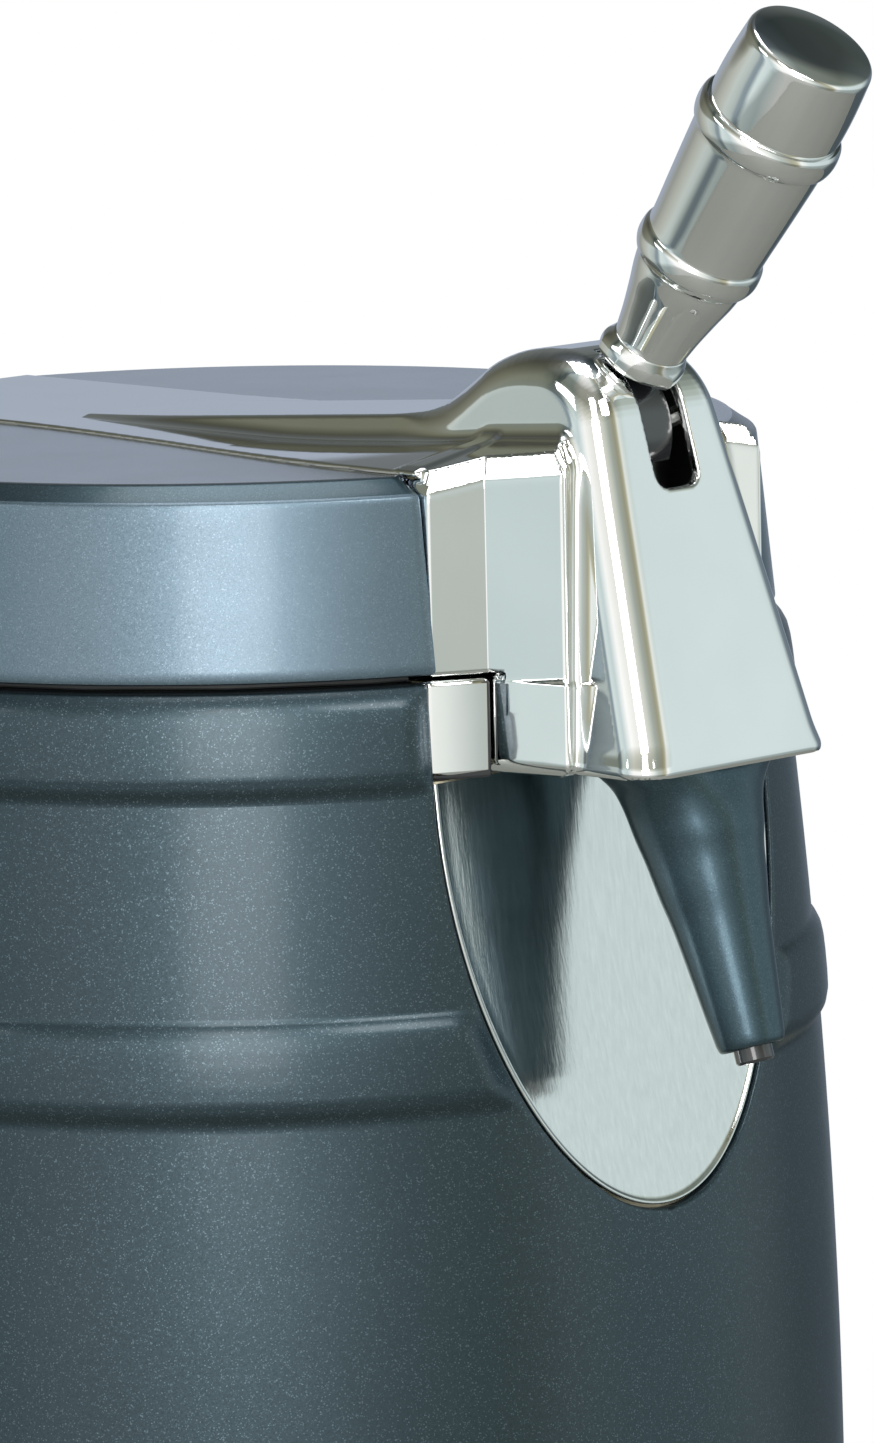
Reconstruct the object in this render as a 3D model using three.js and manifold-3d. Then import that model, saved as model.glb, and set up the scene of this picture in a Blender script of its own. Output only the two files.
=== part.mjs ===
// A barrel-shaped countertop cooler for a five litre mini keg, with a chrome tap tower on its lid.
// Lengths are in millimetres and angles in degrees. The barrel's axis is upright and the tap looks along -Y.

import * as THREE from "three";
import { mergeVertices } from "three/addons/utils/BufferGeometryUtils.js";
import Module from "manifold-3d";

const wasm = await Module();
wasm.setup();

// Fits and facets
const SEAT_GAP = 0.3;
const RUNNING_GAP = 0.6;
const OVERRUN = 6;
const WELD = 0.0001;
const BARREL_SIDES = 48;
const ROUND_SIDES = 24;
const SMALL_SIDES = 14;

// Barrel
const BARREL_END_RADIUS = 118;
const BARREL_SWELL = 11.9;
const BARREL_BULGE_RADIUS = BARREL_END_RADIUS + BARREL_SWELL;
const BARREL_HEIGHT = 409.6;
const BARREL_WALL = 2.2;
const BARREL_EDGE_ROUND = 1.2;
const BARREL_FLANGE_WIDTH = 5;
const BARREL_ROWS = 8;
const INSIDE_ROWS = 5;
const PATCH_ROWS = 3;
const PLATE_ROWS = 8;
const RIB_HEIGHT = 2.2;
const RIB_WIDTH = 22;
const RIB_DROPS = [11.7, 78.2];
const RIB_PROFILE_SHARES = [
  [-0.5, 0],
  [-0.4, 0.5],
  [-0.25, 0.95],
  [0.2, 0.97],
  [0.4, 0.72],
  [0.5, 0],
];

// Base and feet
const FOOT_HEIGHT = 4;
const FOOT_RADIUS = 9;
const FOOT_SETBACK = 26;
const FOOT_CIRCLE_RADIUS = BARREL_END_RADIUS - FOOT_SETBACK;
const FOOT_SOCKET_DEPTH = 1.2;
const PLINTH_HEIGHT = 5;
const PLINTH_INSET = 5;
const PAN_FLOOR = 3;
const PAN_LIP_HEIGHT = 5;
const PAN_LIP_WALL = 3;
const PAN_VENT_COUNT = 6;
const PAN_VENT_RADIUS = 5;
const PAN_VENT_CIRCLE_RADIUS = 30;

// Lid
const LID_GAP = 1.8;
const LID_BAND_HEIGHT = 37.2;
const LID_BEVEL_HEIGHT = 3.4;
const LID_SETBACK = 0.3;
const LID_TAPER = 3.6;
const LID_BEVEL_WIDTH = 5.2;
const LID_BASE_RADIUS = BARREL_END_RADIUS - LID_SETBACK;
const LID_SHOULDER_RADIUS = LID_BASE_RADIUS - LID_TAPER;
const LID_TOP_RADIUS = LID_SHOULDER_RADIUS - LID_BEVEL_WIDTH;
const CHAMBER_MARGIN = 29.5;
const CHAMBER_RADIUS = BARREL_END_RADIUS - CHAMBER_MARGIN;
const LID_WALL = 2.2;
const LINER_PLUG_GAP = 2.3;
const LINER_PLUG_RADIUS = CHAMBER_RADIUS - LINER_PLUG_GAP;
const LINER_PLUG_DEPTH = 15.4;
const LINER_WALL = 2;
const GASKET_OFFSET = 11.5;
const GASKET_INNER_RADIUS = CHAMBER_RADIUS + GASKET_OFFSET;
const GASKET_RECESS = 4.4;
const TUBE_CHANNEL_HALF_WIDTH = 5;

// Tap bay, the arched opening in the barrel's front
const BAY_HALF_WIDTH = 49.9;
const BAY_TOP_HALF_WIDTH = 46.4;
const BAY_SPRING_DROP = 69.7;
const BAY_ARCH_DEPTH = 87.5;
const BAY_ARCH_STEPS = 18;
const BAY_DEPTH = 20.6;
const BAY_BACK_REACH = BARREL_END_RADIUS - BAY_DEPTH;
const SPLASH_RECESS = 1.4;
const SPLASH_THICKNESS = 1.2;
const BRIDGE_PANEL_STANDOFF = 3.6;
const BRIDGE_PANEL_REACH = BAY_BACK_REACH + BRIDGE_PANEL_STANDOFF;
const BRIDGE_PANEL_THICKNESS = 2.4;
const VALLEY_INSET = 11.4;
const VALLEY_HALF_WIDTH = BAY_TOP_HALF_WIDTH - VALLEY_INSET;
const VALLEY_STANDOFF = 13.8;
const VALLEY_REACH = BAY_BACK_REACH + VALLEY_STANDOFF;

// Chrome tower and its shoulders
const PIVOT_STANDOFF = 14.2;
const PIVOT_REACH = BAY_BACK_REACH + PIVOT_STANDOFF;
const PIVOT_RISE = 5.8;
const TOWER_CROWN_RADIUS = 18.2;
const TOWER_CROWN_STEPS = 10;
const TOWER_FACE_LEAN = 16.6;
const TOWER_DROP = 62.4;
const TOWER_INSET = 6.4;
const TOWER_BASE_HALF_WIDTH = VALLEY_HALF_WIDTH - TOWER_INSET;
const TOWER_NARROWING = 10;
const TOWER_TOP_HALF_WIDTH = TOWER_BASE_HALF_WIDTH - TOWER_NARROWING;
const TOWER_CORNER = 6.5;
const TOWER_CORNER_STEPS = 4;
const TOWER_BACK_RUN = 36.6;
const TOWER_BACK_SHARES = [
  [0.317, 0.931],
  [0.481, 0.781],
  [0.604, 0.5625],
  [0.713, 0.35],
  [0.836, 0.1625],
  [1, 0],
];
const TOWER_WALL = 2.4;
const TOWER_LOWER_STANDOFF = 7.1;
const TOWER_LOWER_REACH = BAY_BACK_REACH + TOWER_LOWER_STANDOFF;
const SHOULDER_INSET = 5;
const SHOULDER_HALF_WIDTH = VALLEY_HALF_WIDTH - SHOULDER_INSET;
const SHOULDER_STANDOFF = 17.4;
const SHOULDER_REACH = PIVOT_REACH + SHOULDER_STANDOFF;
const SHOULDER_OUTER_STANDOFF = 8;
const SHOULDER_OUTER_REACH = BAY_BACK_REACH + SHOULDER_OUTER_STANDOFF;
const SHOULDER_BEVEL_DROP = 3.8;
const SHOULDER_BEVEL_INSET = 2.2;
const SHOULDER_STEP = 1;
const SLOT_HALF_WIDTH = 6.4;
const SLOT_FOOT_DROP = 4.5;
const SLOT_START_ANGLE = 14;

// Chrome spine over the lid
const SPINE_BASE_RISE = 1;
const SPINE_TOP_HALF_WIDTH = 17;
const SPINE_WALL_HALF_WIDTH = 19.8;
const SPINE_WALL_HEIGHT = 4.7;
const SPINE_RAMP_START = 28;
const SPINE_RAMP_SLOPE = 0.0727;
const SPINE_BACK_MARGIN = 8.9;
const SPINE_BACK_REACH = LID_TOP_RADIUS - SPINE_BACK_MARGIN;
const SPINE_FRONT_INSET = 0.2;
const SPINE_FRONT_HALF_WIDTH = BAY_TOP_HALF_WIDTH - SPINE_FRONT_INSET;
const SPINE_STATIONS_SHARES = [
  [0, 1, 1],
  [0.17, 0.97, 0.72],
  [0.3, 0.9, 0.42],
  [0.44, 0.8, 0.22],
  [0.635, 0.7, 0.05],
  [1, 0.6925, 0],
];

// Lever, collar and handle, measured from the pivot
const LEVER_LEAN = 36.3;
const LEVER_TRAVEL = 35;
const PIN_RADIUS = 2;
const HUB_RADIUS = 6;
const HUB_HALF_WIDTH = 6;
const HUB_STEPS = 36;
const CAM_LIFT = 5;
const CAM_LEAD = 2;
const STRIP_RADIUS = 15.4;
const STRIP_THICKNESS = 1.1;
const STRIP_HALF_WIDTH = 5;
const STRIP_ANGLES = [-21, 112];
const STRIP_END_GAP = 3;
const STRIP_STEPS = 16;
const NECK_HALF_WIDTH = 3.6;
const NECK_HALF_THICKNESS = 3.6;
const COLLAR_RADIUS = 19.8;
const COLLAR_THICKNESS = 3.4;
const COLLAR_HALF_WIDTH = 8.6;
const COLLAR_ANGLES = [13, 58];
const COLLAR_STEPS = 8;
const HANDLE_FOOT = 24.2;
const HANDLE_PROFILE = [
  [8, 24.2],
  [10.2, 35.5],
  [11.8, 42.5],
  [12.6, 45.2],
  [13.5, 47.2],
  [13.6, 49.4],
  [12.9, 51.4],
  [13.1, 55],
  [14, 65],
  [14.5, 77],
  [15.5, 79.2],
  [15.8, 82],
  [15.3, 84.2],
];
const CAP_PROFILE = [
  [14.5, 84.6],
  [14.5, 91],
  [14.2, 96],
  [13.8, 101.4],
  [12.9, 102.7],
];
const CAP_SPIGOT_RADIUS = 7;
const CAP_SPIGOT_DEPTH = 6;

// Spout and valve, measured along the spout's axis from the pivot
const SPOUT_LEAN = 17.43;
const SPOUT_TIP = 132.2;
const SPOUT_LIP = 1.2;
const SPOUT_PROFILE = [
  [13.5, 84],
  [12.7, 90],
  [11.5, 98],
  [10.3, 105],
  [9.1, 115],
  [8.1, 124],
  [7.2, SPOUT_TIP - SPOUT_LIP],
  [6.6, SPOUT_TIP],
];
const SPOUT_FLARE_MARGIN = 3.6;
const SPOUT_NECK_HALF_WIDTH = 13.9;
const SPOUT_FLARE_SHARES = [1, 0.64, 0.333, 0.117, 0];
const SPOUT_FLARE = [
  [13.6, 61.3],
  [13.6, 64],
  [13.8, 67],
  [13.9, 71],
  [13.8, 76],
];
const SPOUT_FLANGE_THICKNESS = 2;
const SPOUT_BORE_RADIUS = 4.4;
const NOZZLE_BORE_RADIUS = 2.6;
const NOZZLE_LENGTH = 16;
const NOZZLE_PROUD = 3.2;
const VALVE_RADIUS = 8.5;
const VALVE_START = 26;
const VALVE_END = 65.4;
const VALVE_PORT_DROP = 24;
const VALVE_STUB_RADIUS = 5;
const VALVE_STUB_STANDOFF = 6.6;
const VALVE_STUB_REACH = BAY_BACK_REACH + VALVE_STUB_STANDOFF;
const PORT_BORE_RADIUS = 1.8;
const PLUNGER_RADIUS = 2.8;
const PLUNGER_END = 59;

// Cold chamber
const CHAMBER_FLOOR = 131;
const TUB_WALL = 2.5;
const TUB_FLOOR = 3;
const TUB_FLANGE_WIDTH = 6;
const COLLAR_RING_THICKNESS = 4.5;
const COLLAR_LEDGE_DROP = 2.5;
const COLLAR_LEDGE_WIDTH = 1.8;
const INSULATION_INSET = 3.2;
const INSULATION_UNDERSIDE = 108;
const REST_GAP = 8.5;
const REST_RADIUS = CHAMBER_RADIUS - REST_GAP;
const REST_THICKNESS = 4;
const REST_HOLE_RADIUS = 25;
const COUPLER_RADIUS = 14;
const COUPLER_SKIRT_RADIUS = 19;
const COUPLER_SKIRT_HEIGHT = 9;
const COUPLER_BORE_RADIUS = 4;
const COUPLER_DROP = 75;
const COUPLER_TOP_DROP = 29;
const TUBE_RADIUS = 3.5;
const TUBE_BORE_RADIUS = 2;
const TUBE_LEVEL_DROP = 13;
const TUBE_BEND = 12;
const TUBE_SIDES = 8;
const TUBE_STEPS = 18;

// Cooling stack below the chamber
const COLD_BLOCK_WIDTH = 48;
const COLD_BLOCK_HEIGHT = 21.4;
const PELTIER_WIDTH = 40;
const PELTIER_HEIGHT = 4;
const SINK_WIDTH = 88;
const SINK_BASE = 6;
const FIN_HEIGHT = 32;
const FIN_THICKNESS = 1.6;
const FIN_COUNT = 11;
const FAN_WIDTH = 92;
const FAN_HEIGHT = 20;
const FAN_BORE_RADIUS = 43.5;
const FAN_HUB_RADIUS = 18;
const FAN_STRUT_WIDTH = 5;
const FAN_STRUT_HEIGHT = 3;
const FAN_BLADE_COUNT = 7;
const FAN_BLADE_REACH = 41.5;
const FAN_BLADE_THICKNESS = 1.6;
const FAN_BLADE_TILT = 38;
const ROTOR_HEIGHT = 13;
const POST_RADIUS = 4.5;
const POST_INSET = 7;
const SUPPLY_LENGTH = 60;
const SUPPLY_CLEARANCE = 78;
const SUPPLY_WIDTH = BARREL_END_RADIUS - SUPPLY_CLEARANCE;
const SUPPLY_HEIGHT = 30;
const SUPPLY_SETBACK = 42;
const SUPPLY_OFFSET = BARREL_END_RADIUS - SUPPLY_SETBACK;

// Control panel
const FASCIA_HALF_WIDTH = 32;
const FASCIA_HALF_HEIGHT = 15;
const FASCIA_CORNER = 6;
const FASCIA_LEVEL = 54;
const FASCIA_PROUD = 0.8;
const FASCIA_FACE = 3;
const FASCIA_DEPTH = 11;
const FASCIA_RIM = 2;
const WINDOW_HALF_WIDTH = 11;
const WINDOW_HALF_HEIGHT = 6.5;
const WINDOW_THICKNESS = 2;
const WINDOW_OFFSET = -16;
const BUTTON_RADIUS = 4;
const BUTTON_FLANGE_RADIUS = 5.2;
const BUTTON_FLANGE = 1.4;
const BUTTON_PROUD = 1.2;
const BUTTON_STEM_RADIUS = 2.4;
const BUTTON_TRAVEL = 1;
const BUTTON_PITCH = 11;
const BUTTON_OFFSET = 1.2;
const BOARD_THICKNESS = 1.6;

// Rear cover and inlet
const COVER_HALF_WIDTH = 46;
const COVER_LOW = 34;
const COVER_HIGH = 74;
const COVER_THICKNESS = 1.6;
const COVER_LIP = 5;
const LOUVRE_COUNT = 5;
const LOUVRE_HEIGHT = 3.4;
const LOUVRE_HALF_LENGTH = 20;
const LOUVRE_OFFSET = -12;
const INLET_HALF_WIDTH = 10;
const INLET_HALF_HEIGHT = 8;
const INLET_OFFSET = 24;
const INLET_DEPTH = 18;
const INLET_PROUD = 4;
const INLET_SOCKET_SHARE = 0.62;
const SCREW_HEAD_RADIUS = 2.6;
const SCREW_SHANK_RADIUS = 1.3;
const SCREW_HEAD = 1.2;
const SCREW_LENGTH = 5;

// Hinge at the back of the lid
const HINGE_HALF_WIDTH = 24;
const HINGE_KNUCKLE_RADIUS = 4.6;
const HINGE_KNUCKLE_HALF_WIDTH = 10;
const HINGE_STANDOFF = 7.4;
const HINGE_REACH = BARREL_END_RADIUS + HINGE_STANDOFF;
const HINGE_BRACKET_HEIGHT = 20;
const HINGE_LEAF_HEIGHT = 24;
const HINGE_PLATE_INSET = 2;
const HINGE_PLATE_REACH = HINGE_REACH - HINGE_PLATE_INSET;
const HINGE_PLATE_GAP = 6.2;

// Drip tray
const TRAY_RADIUS = 64;
const TRAY_BACK_TO_CENTRE = 17.545;
const TRAY_HEIGHT = 24;
const TRAY_WALL = 2.2;
const TRAY_FLOOR = 2.2;
const TRAY_BARREL_GAP = 0.8;
const TRAY_TONGUE_HALF_WIDTH = 20;
const TRAY_TONGUE_LENGTH = 28;
const TRAY_TONGUE_THICKNESS = 2;
const TRAY_TONGUE_LIFT = FOOT_HEIGHT - RUNNING_GAP - TRAY_TONGUE_THICKNESS;
const GRILLE_THICKNESS = 2.2;
const GRILLE_DROP = 1;
const GRILLE_LEDGE = 3;
const GRILLE_SLOT_WIDTH = 3.6;
const GRILLE_SLOT_PITCH = 8;
const GRILLE_SLOT_COUNT = 11;
const GRILLE_RIM = 7;

// Levels that follow from the sizes above
const BARREL_BOTTOM = FOOT_HEIGHT + PLINTH_HEIGHT;
const BARREL_TOP = BARREL_BOTTOM + BARREL_HEIGHT;
const BARREL_MIDDLE = BARREL_BOTTOM + BARREL_HEIGHT / 2;
const LID_BOTTOM = BARREL_TOP + LID_GAP;
const LID_SHOULDER = LID_BOTTOM + LID_BAND_HEIGHT;
const LID_TOP = LID_SHOULDER + LID_BEVEL_HEIGHT;
const PIVOT_LEVEL = LID_TOP + PIVOT_RISE;
const TOWER_BOTTOM = LID_TOP - TOWER_DROP;
const SPLASH_TOP = TOWER_BOTTOM - RUNNING_GAP;
const BRIDGE_BOTTOM = SPLASH_TOP + SEAT_GAP;
const TUB_TOP = BARREL_TOP - COLLAR_RING_THICKNESS - SEAT_GAP;
const FAR = 2 * BARREL_BULGE_RADIUS;

// Finishes
const finish = (color, roughness, metalness) =>
  new THREE.MeshStandardMaterial({ color, roughness, metalness });
const paint = finish(0x3a4a55, 0.35, 0.7);
const bandPaint = finish(0x5b7482, 0.4, 0.7);
const chrome = finish(0xc8ccca, 0.06, 1);
const steel = finish(0xb9bdb9, 0.25, 1);
const blackPlastic = finish(0x17191b, 0.5, 0);
const greyPlastic = finish(0x8a8d92, 0.5, 0);
const rubber = finish(0x101112, 0.8, 0);
const foam = finish(0xe8e2c8, 0.9, 0);
const aluminium = finish(0xb4b8bc, 0.35, 1);
const circuit = finish(0x1f5a3a, 0.6, 0);
const smokedGlass = finish(0x0b0c0e, 0.08, 0);

// A closed geometry as a solid, whichever way round its faces were drawn
function solid(geometry) {
  const bare = new THREE.BufferGeometry();
  bare.setAttribute("position", geometry.getAttribute("position"));
  if (geometry.index) bare.setIndex(geometry.index);
  const merged = mergeVertices(bare, WELD);
  const corners = merged.index.array;
  const kept = [];
  for (let i = 0; i < corners.length; i += 3) {
    const [a, b, c] = [corners[i], corners[i + 1], corners[i + 2]];
    if (a !== b && b !== c && c !== a) kept.push(a, b, c);
  }
  const place = merged.attributes.position;
  const [p, q, r] = [new THREE.Vector3(), new THREE.Vector3(), new THREE.Vector3()];
  let volume = 0;
  for (let i = 0; i < kept.length; i += 3) {
    p.fromBufferAttribute(place, kept[i]);
    q.fromBufferAttribute(place, kept[i + 1]);
    r.fromBufferAttribute(place, kept[i + 2]);
    volume += p.dot(q.cross(r));
  }
  if (volume < 0) kept.reverse();
  return new wasm.Manifold(
    new wasm.Mesh({ numProp: 3, vertProperties: place.array, triVerts: new Uint32Array(kept) }),
  );
}

const join = (...solids) => solids.reduce((whole, next) => whole.add(next));
const cut = (whole, ...solids) => solids.reduce((left, next) => left.subtract(next), whole);

// Basic shapes
const box = (x0, x1, y0, y1, z0, z1) =>
  solid(
    new THREE.BoxGeometry(x1 - x0, y1 - y0, z1 - z0).translate((x0 + x1) / 2, (y0 + y1) / 2, (z0 + z1) / 2),
  );

function polygon(points) {
  return new THREE.Shape(points.map(([a, b]) => new THREE.Vector2(a, b)));
}

// A profile of [radius, height] pairs turned round the upright axis, closed on itself or on the axis
function revolve(profile, sides = ROUND_SIDES) {
  const points = profile.map(([radius, height]) => new THREE.Vector2(radius, height));
  if (points[0].x > 0) points.push(points[0].clone());
  return solid(new THREE.LatheGeometry(points, sides).rotateX(Math.PI / 2));
}

const disc = (radius, z0, z1, sides = ROUND_SIDES) =>
  revolve(
    [
      [0, z0],
      [radius, z0],
      [radius, z1],
      [0, z1],
    ],
    sides,
  );

// An outline drawn in x and y, carried up
function prismUp(points, z0, z1) {
  const shape = new THREE.ExtrudeGeometry(polygon(points), { depth: z1 - z0, bevelEnabled: false });
  return solid(shape.translate(0, 0, z0));
}

// An outline drawn in y and z, carried across from side to side
function prismAcross(points, x0, x1) {
  const turn = new THREE.Matrix4().makeBasis(
    new THREE.Vector3(0, 1, 0),
    new THREE.Vector3(0, 0, 1),
    new THREE.Vector3(1, 0, 0),
  );
  const shape = new THREE.ExtrudeGeometry(polygon(points), { depth: x1 - x0, bevelEnabled: false });
  return solid(shape.applyMatrix4(turn).translate(x0, 0, 0));
}

// An outline drawn in x and z, carried back along y
function prismDeep(points, y0, y1) {
  const turn = new THREE.Matrix4().makeBasis(
    new THREE.Vector3(1, 0, 0),
    new THREE.Vector3(0, 0, 1),
    new THREE.Vector3(0, 1, 0),
  );
  const shape = new THREE.ExtrudeGeometry(polygon(points), { depth: y1 - y0, bevelEnabled: false });
  return solid(shape.applyMatrix4(turn).translate(0, y0, 0));
}

// A round bar between two points
function rod([x0, y0, z0], [x1, y1, z1], radius, sides = SMALL_SIDES) {
  const from = new THREE.Vector3(x0, y0, z0);
  const along = new THREE.Vector3(x1, y1, z1).sub(from);
  const bar = new THREE.CylinderGeometry(radius, radius, along.length(), sides);
  const upright = new THREE.Vector3(0, 1, 0);
  bar.applyQuaternion(new THREE.Quaternion().setFromUnitVectors(upright, along.clone().normalize()));
  bar.translate(...from.addScaledVector(along, 1 / 2).toArray());
  return solid(bar);
}

// Rings of as many points each, joined one to the next and closed at both ends from their middles
function loft(rings) {
  const count = rings[0].length;
  const places = rings.flat(2);
  const faces = [];
  for (let k = 0; k + 1 < rings.length; k++) {
    for (let i = 0; i < count; i++) {
      const [a, b] = [k * count + i, k * count + ((i + 1) % count)];
      faces.push(a, b, b + count, a, b + count, a + count);
    }
  }
  for (const [k, flip] of [
    [0, true],
    [rings.length - 1, false],
  ]) {
    const middle = [0, 1, 2].map((axis) => rings[k].reduce((sum, point) => sum + point[axis], 0) / count);
    const hub = places.length / 3;
    places.push(...middle);
    for (let i = 0; i < count; i++) {
      const [a, b] = [k * count + i, k * count + ((i + 1) % count)];
      faces.push(...(flip ? [hub, b, a] : [hub, a, b]));
    }
  }
  const geometry = new THREE.BufferGeometry();
  geometry.setAttribute("position", new THREE.Float32BufferAttribute(places, 3));
  return solid(geometry.setIndex(faces));
}

const radians = THREE.MathUtils.degToRad;
const mirrored = (points) => [...points, ...points.map(([a, b]) => [-a, b]).reverse()];

// Points on a circle in plan
const around = (radius, angle) => [radius * Math.cos(angle), radius * Math.sin(angle)];

// Points of the side view, from the lever's pivot at an angle forward of upright
function fromPivot(radius, degrees) {
  const angle = radians(degrees);
  return [-PIVOT_REACH - radius * Math.sin(angle), PIVOT_LEVEL + radius * Math.cos(angle)];
}

const arc = (radius, from, to, steps) =>
  Array.from({ length: steps + 1 }, (_, i) => fromPivot(radius, from + ((to - from) * i) / steps));

// The barrel's wall
const barrelRadius = (z) =>
  BARREL_BULGE_RADIUS -
  (BARREL_BULGE_RADIUS - BARREL_END_RADIUS) * ((z - BARREL_MIDDLE) / (BARREL_HEIGHT / 2)) ** 2;

const ribLevels = RIB_DROPS.flatMap((drop) => [BARREL_TOP - drop, BARREL_BOTTOM + drop]);

function barrelOutline(grow) {
  const clear = (z) => ribLevels.every((level) => Math.abs(z - level) > RIB_WIDTH / 2);
  const pitch = BARREL_HEIGHT / BARREL_ROWS;
  const rows = Array.from({ length: BARREL_ROWS + 1 }, (_, i) => BARREL_BOTTOM + pitch * i);
  const edges = [BARREL_BOTTOM + BARREL_EDGE_ROUND, BARREL_TOP - BARREL_EDGE_ROUND];
  const points = rows
    .filter((z) => clear(z) && z > edges[0] && z < edges[1])
    .map((z) => [barrelRadius(z) + grow, z]);
  for (const level of ribLevels) {
    for (const [place, height] of RIB_PROFILE_SHARES) {
      const z = THREE.MathUtils.clamp(level + place * RIB_WIDTH, ...edges);
      points.push([barrelRadius(z) + height * RIB_HEIGHT + grow, z]);
    }
  }
  return points.sort((a, b) => a[1] - b[1]);
}

const barrelInside = (inset, z0, z1, rows = INSIDE_ROWS) =>
  Array.from({ length: rows + 1 }, (_, i) => z0 + ((z1 - z0) * i) / rows).map((z) => [
    barrelRadius(z) - inset,
    z,
  ]);

// The barrel without its hollow, grown a little, to fit what is fastened on it
function barrelBlank(grow) {
  return revolve(
    [
      [0, BARREL_BOTTOM],
      [BARREL_END_RADIUS, BARREL_BOTTOM],
      ...barrelOutline(grow),
      [BARREL_END_RADIUS, BARREL_TOP],
      [0, BARREL_TOP],
    ],
    BARREL_SIDES,
  );
}

function lidBlank(grow) {
  return revolve(
    [
      [0, LID_BOTTOM],
      [LID_BASE_RADIUS + grow, LID_BOTTOM],
      [LID_SHOULDER_RADIUS + grow, LID_SHOULDER],
      [LID_TOP_RADIUS + grow, LID_TOP + grow],
      [0, LID_TOP + grow],
    ],
    BARREL_SIDES,
  );
}

// The arched outline of the tap bay, seen from the front, drawn in by an inset
function bayOutline(inset) {
  const spring = LID_TOP - BAY_SPRING_DROP;
  const half = BAY_HALF_WIDTH - inset;
  const points = [[-(BAY_TOP_HALF_WIDTH - inset), LID_TOP + OVERRUN]];
  for (let i = 0; i <= BAY_ARCH_STEPS; i++) {
    const [across, down] = around(1, (Math.PI * i) / BAY_ARCH_STEPS);
    points.push([-half * across, spring - (BAY_ARCH_DEPTH - inset) * down]);
  }
  points.push([BAY_TOP_HALF_WIDTH - inset, LID_TOP + OVERRUN]);
  return points;
}

const bayPrism = (inset, reach) => prismDeep(bayOutline(inset), -FAR, -reach);

// Base
function footPlaces() {
  return [1, 3, 5, 7].map((step) => around(FOOT_CIRCLE_RADIUS, (Math.PI * step) / 4));
}

function foot([x, y]) {
  return disc(FOOT_RADIUS, 0, FOOT_HEIGHT + FOOT_SOCKET_DEPTH - SEAT_GAP, SMALL_SIDES).translate([x, y, 0]);
}

const postSpread = FAN_WIDTH / 2 - POST_INSET;
const fanBottom = () => sinkBottom() - SEAT_GAP - FAN_HEIGHT;

function basePan() {
  const lipRadius = barrelRadius(BARREL_BOTTOM) - BARREL_WALL - RUNNING_GAP;
  const floorTop = FOOT_HEIGHT + PAN_FLOOR;
  const pan = revolve(
    [
      [0, FOOT_HEIGHT],
      [BARREL_END_RADIUS - PLINTH_INSET, FOOT_HEIGHT],
      [BARREL_END_RADIUS - SEAT_GAP, BARREL_BOTTOM - SEAT_GAP],
      [lipRadius, BARREL_BOTTOM - SEAT_GAP],
      [lipRadius, BARREL_BOTTOM + PAN_LIP_HEIGHT],
      [lipRadius - PAN_LIP_WALL, BARREL_BOTTOM + PAN_LIP_HEIGHT],
      [lipRadius - PAN_LIP_WALL, floorTop],
      [0, floorTop],
    ],
    BARREL_SIDES,
  );
  const posts = [-1, 1].flatMap((sx) =>
    [-1, 1].map((sy) =>
      rod(
        [sx * postSpread, sy * postSpread, FOOT_HEIGHT],
        [sx * postSpread, sy * postSpread, fanBottom() - SEAT_GAP],
        POST_RADIUS,
      ),
    ),
  );
  const sockets = footPlaces().map(([x, y]) =>
    disc(FOOT_RADIUS + SEAT_GAP, 0, FOOT_HEIGHT + FOOT_SOCKET_DEPTH, SMALL_SIDES).translate([x, y, 0]),
  );
  const vents = Array.from({ length: PAN_VENT_COUNT }, (_, i) => {
    const [x, y] = around(PAN_VENT_CIRCLE_RADIUS, (2 * Math.PI * i) / PAN_VENT_COUNT);
    return disc(PAN_VENT_RADIUS, 0, floorTop + OVERRUN, SMALL_SIDES).translate([x, y, 0]);
  });
  return cut(join(pan, ...posts), ...sockets, ...vents);
}

// Barrel
function fasciaOutline(grow) {
  const [halfWidth, halfHeight] = [FASCIA_HALF_WIDTH + grow, FASCIA_HALF_HEIGHT + grow];
  return roundedRectangle(halfWidth, halfHeight, FASCIA_CORNER + grow, 0, FASCIA_LEVEL);
}

function roundedRectangle(halfWidth, halfHeight, corner, x, z) {
  const points = [];
  for (const [sx, sz, start] of [
    [1, 1, 0],
    [-1, 1, 1],
    [-1, -1, 2],
    [1, -1, 3],
  ]) {
    for (const step of [0, 1 / 2, 1]) {
      const [a, b] = around(corner, ((start + step) * Math.PI) / 2);
      points.push([x + sx * (halfWidth - corner) + a, z + sz * (halfHeight - corner) + b]);
    }
  }
  return points;
}

function barrelShell() {
  const flangeRadius = BARREL_END_RADIUS - BARREL_FLANGE_WIDTH;
  const innerTop = BARREL_TOP - BARREL_WALL;
  const shell = revolve(
    [
      [BARREL_END_RADIUS - BARREL_EDGE_ROUND, BARREL_BOTTOM],
      ...barrelOutline(0),
      [BARREL_END_RADIUS - BARREL_EDGE_ROUND, BARREL_TOP],
      [flangeRadius, BARREL_TOP],
      [flangeRadius, innerTop],
      ...barrelInside(BARREL_WALL, BARREL_BOTTOM, innerTop).reverse(),
    ],
    BARREL_SIDES,
  );
  const rearOpening = box(
    -(COVER_HALF_WIDTH - COVER_LIP),
    COVER_HALF_WIDTH - COVER_LIP,
    0,
    FAR,
    COVER_LOW + COVER_LIP,
    COVER_HIGH - COVER_LIP,
  );
  const panelOpening = prismDeep(fasciaOutline(SEAT_GAP), -FAR, 0);
  return cut(shell, bayPrism(0, 0), rearOpening, panelOpening, ...screwHoles());
}

// The flat plate's reach at a level, so that its sides keep just inside the barrel's edge at the bay
function plateReach(z) {
  const share = Math.min(1, Math.max(0, LID_TOP - BAY_SPRING_DROP - z) / BAY_ARCH_DEPTH);
  const half = BAY_HALF_WIDTH * Math.sqrt(1 - share * share);
  return Math.sqrt(barrelRadius(z) ** 2 - half ** 2) - SPLASH_RECESS;
}

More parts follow.
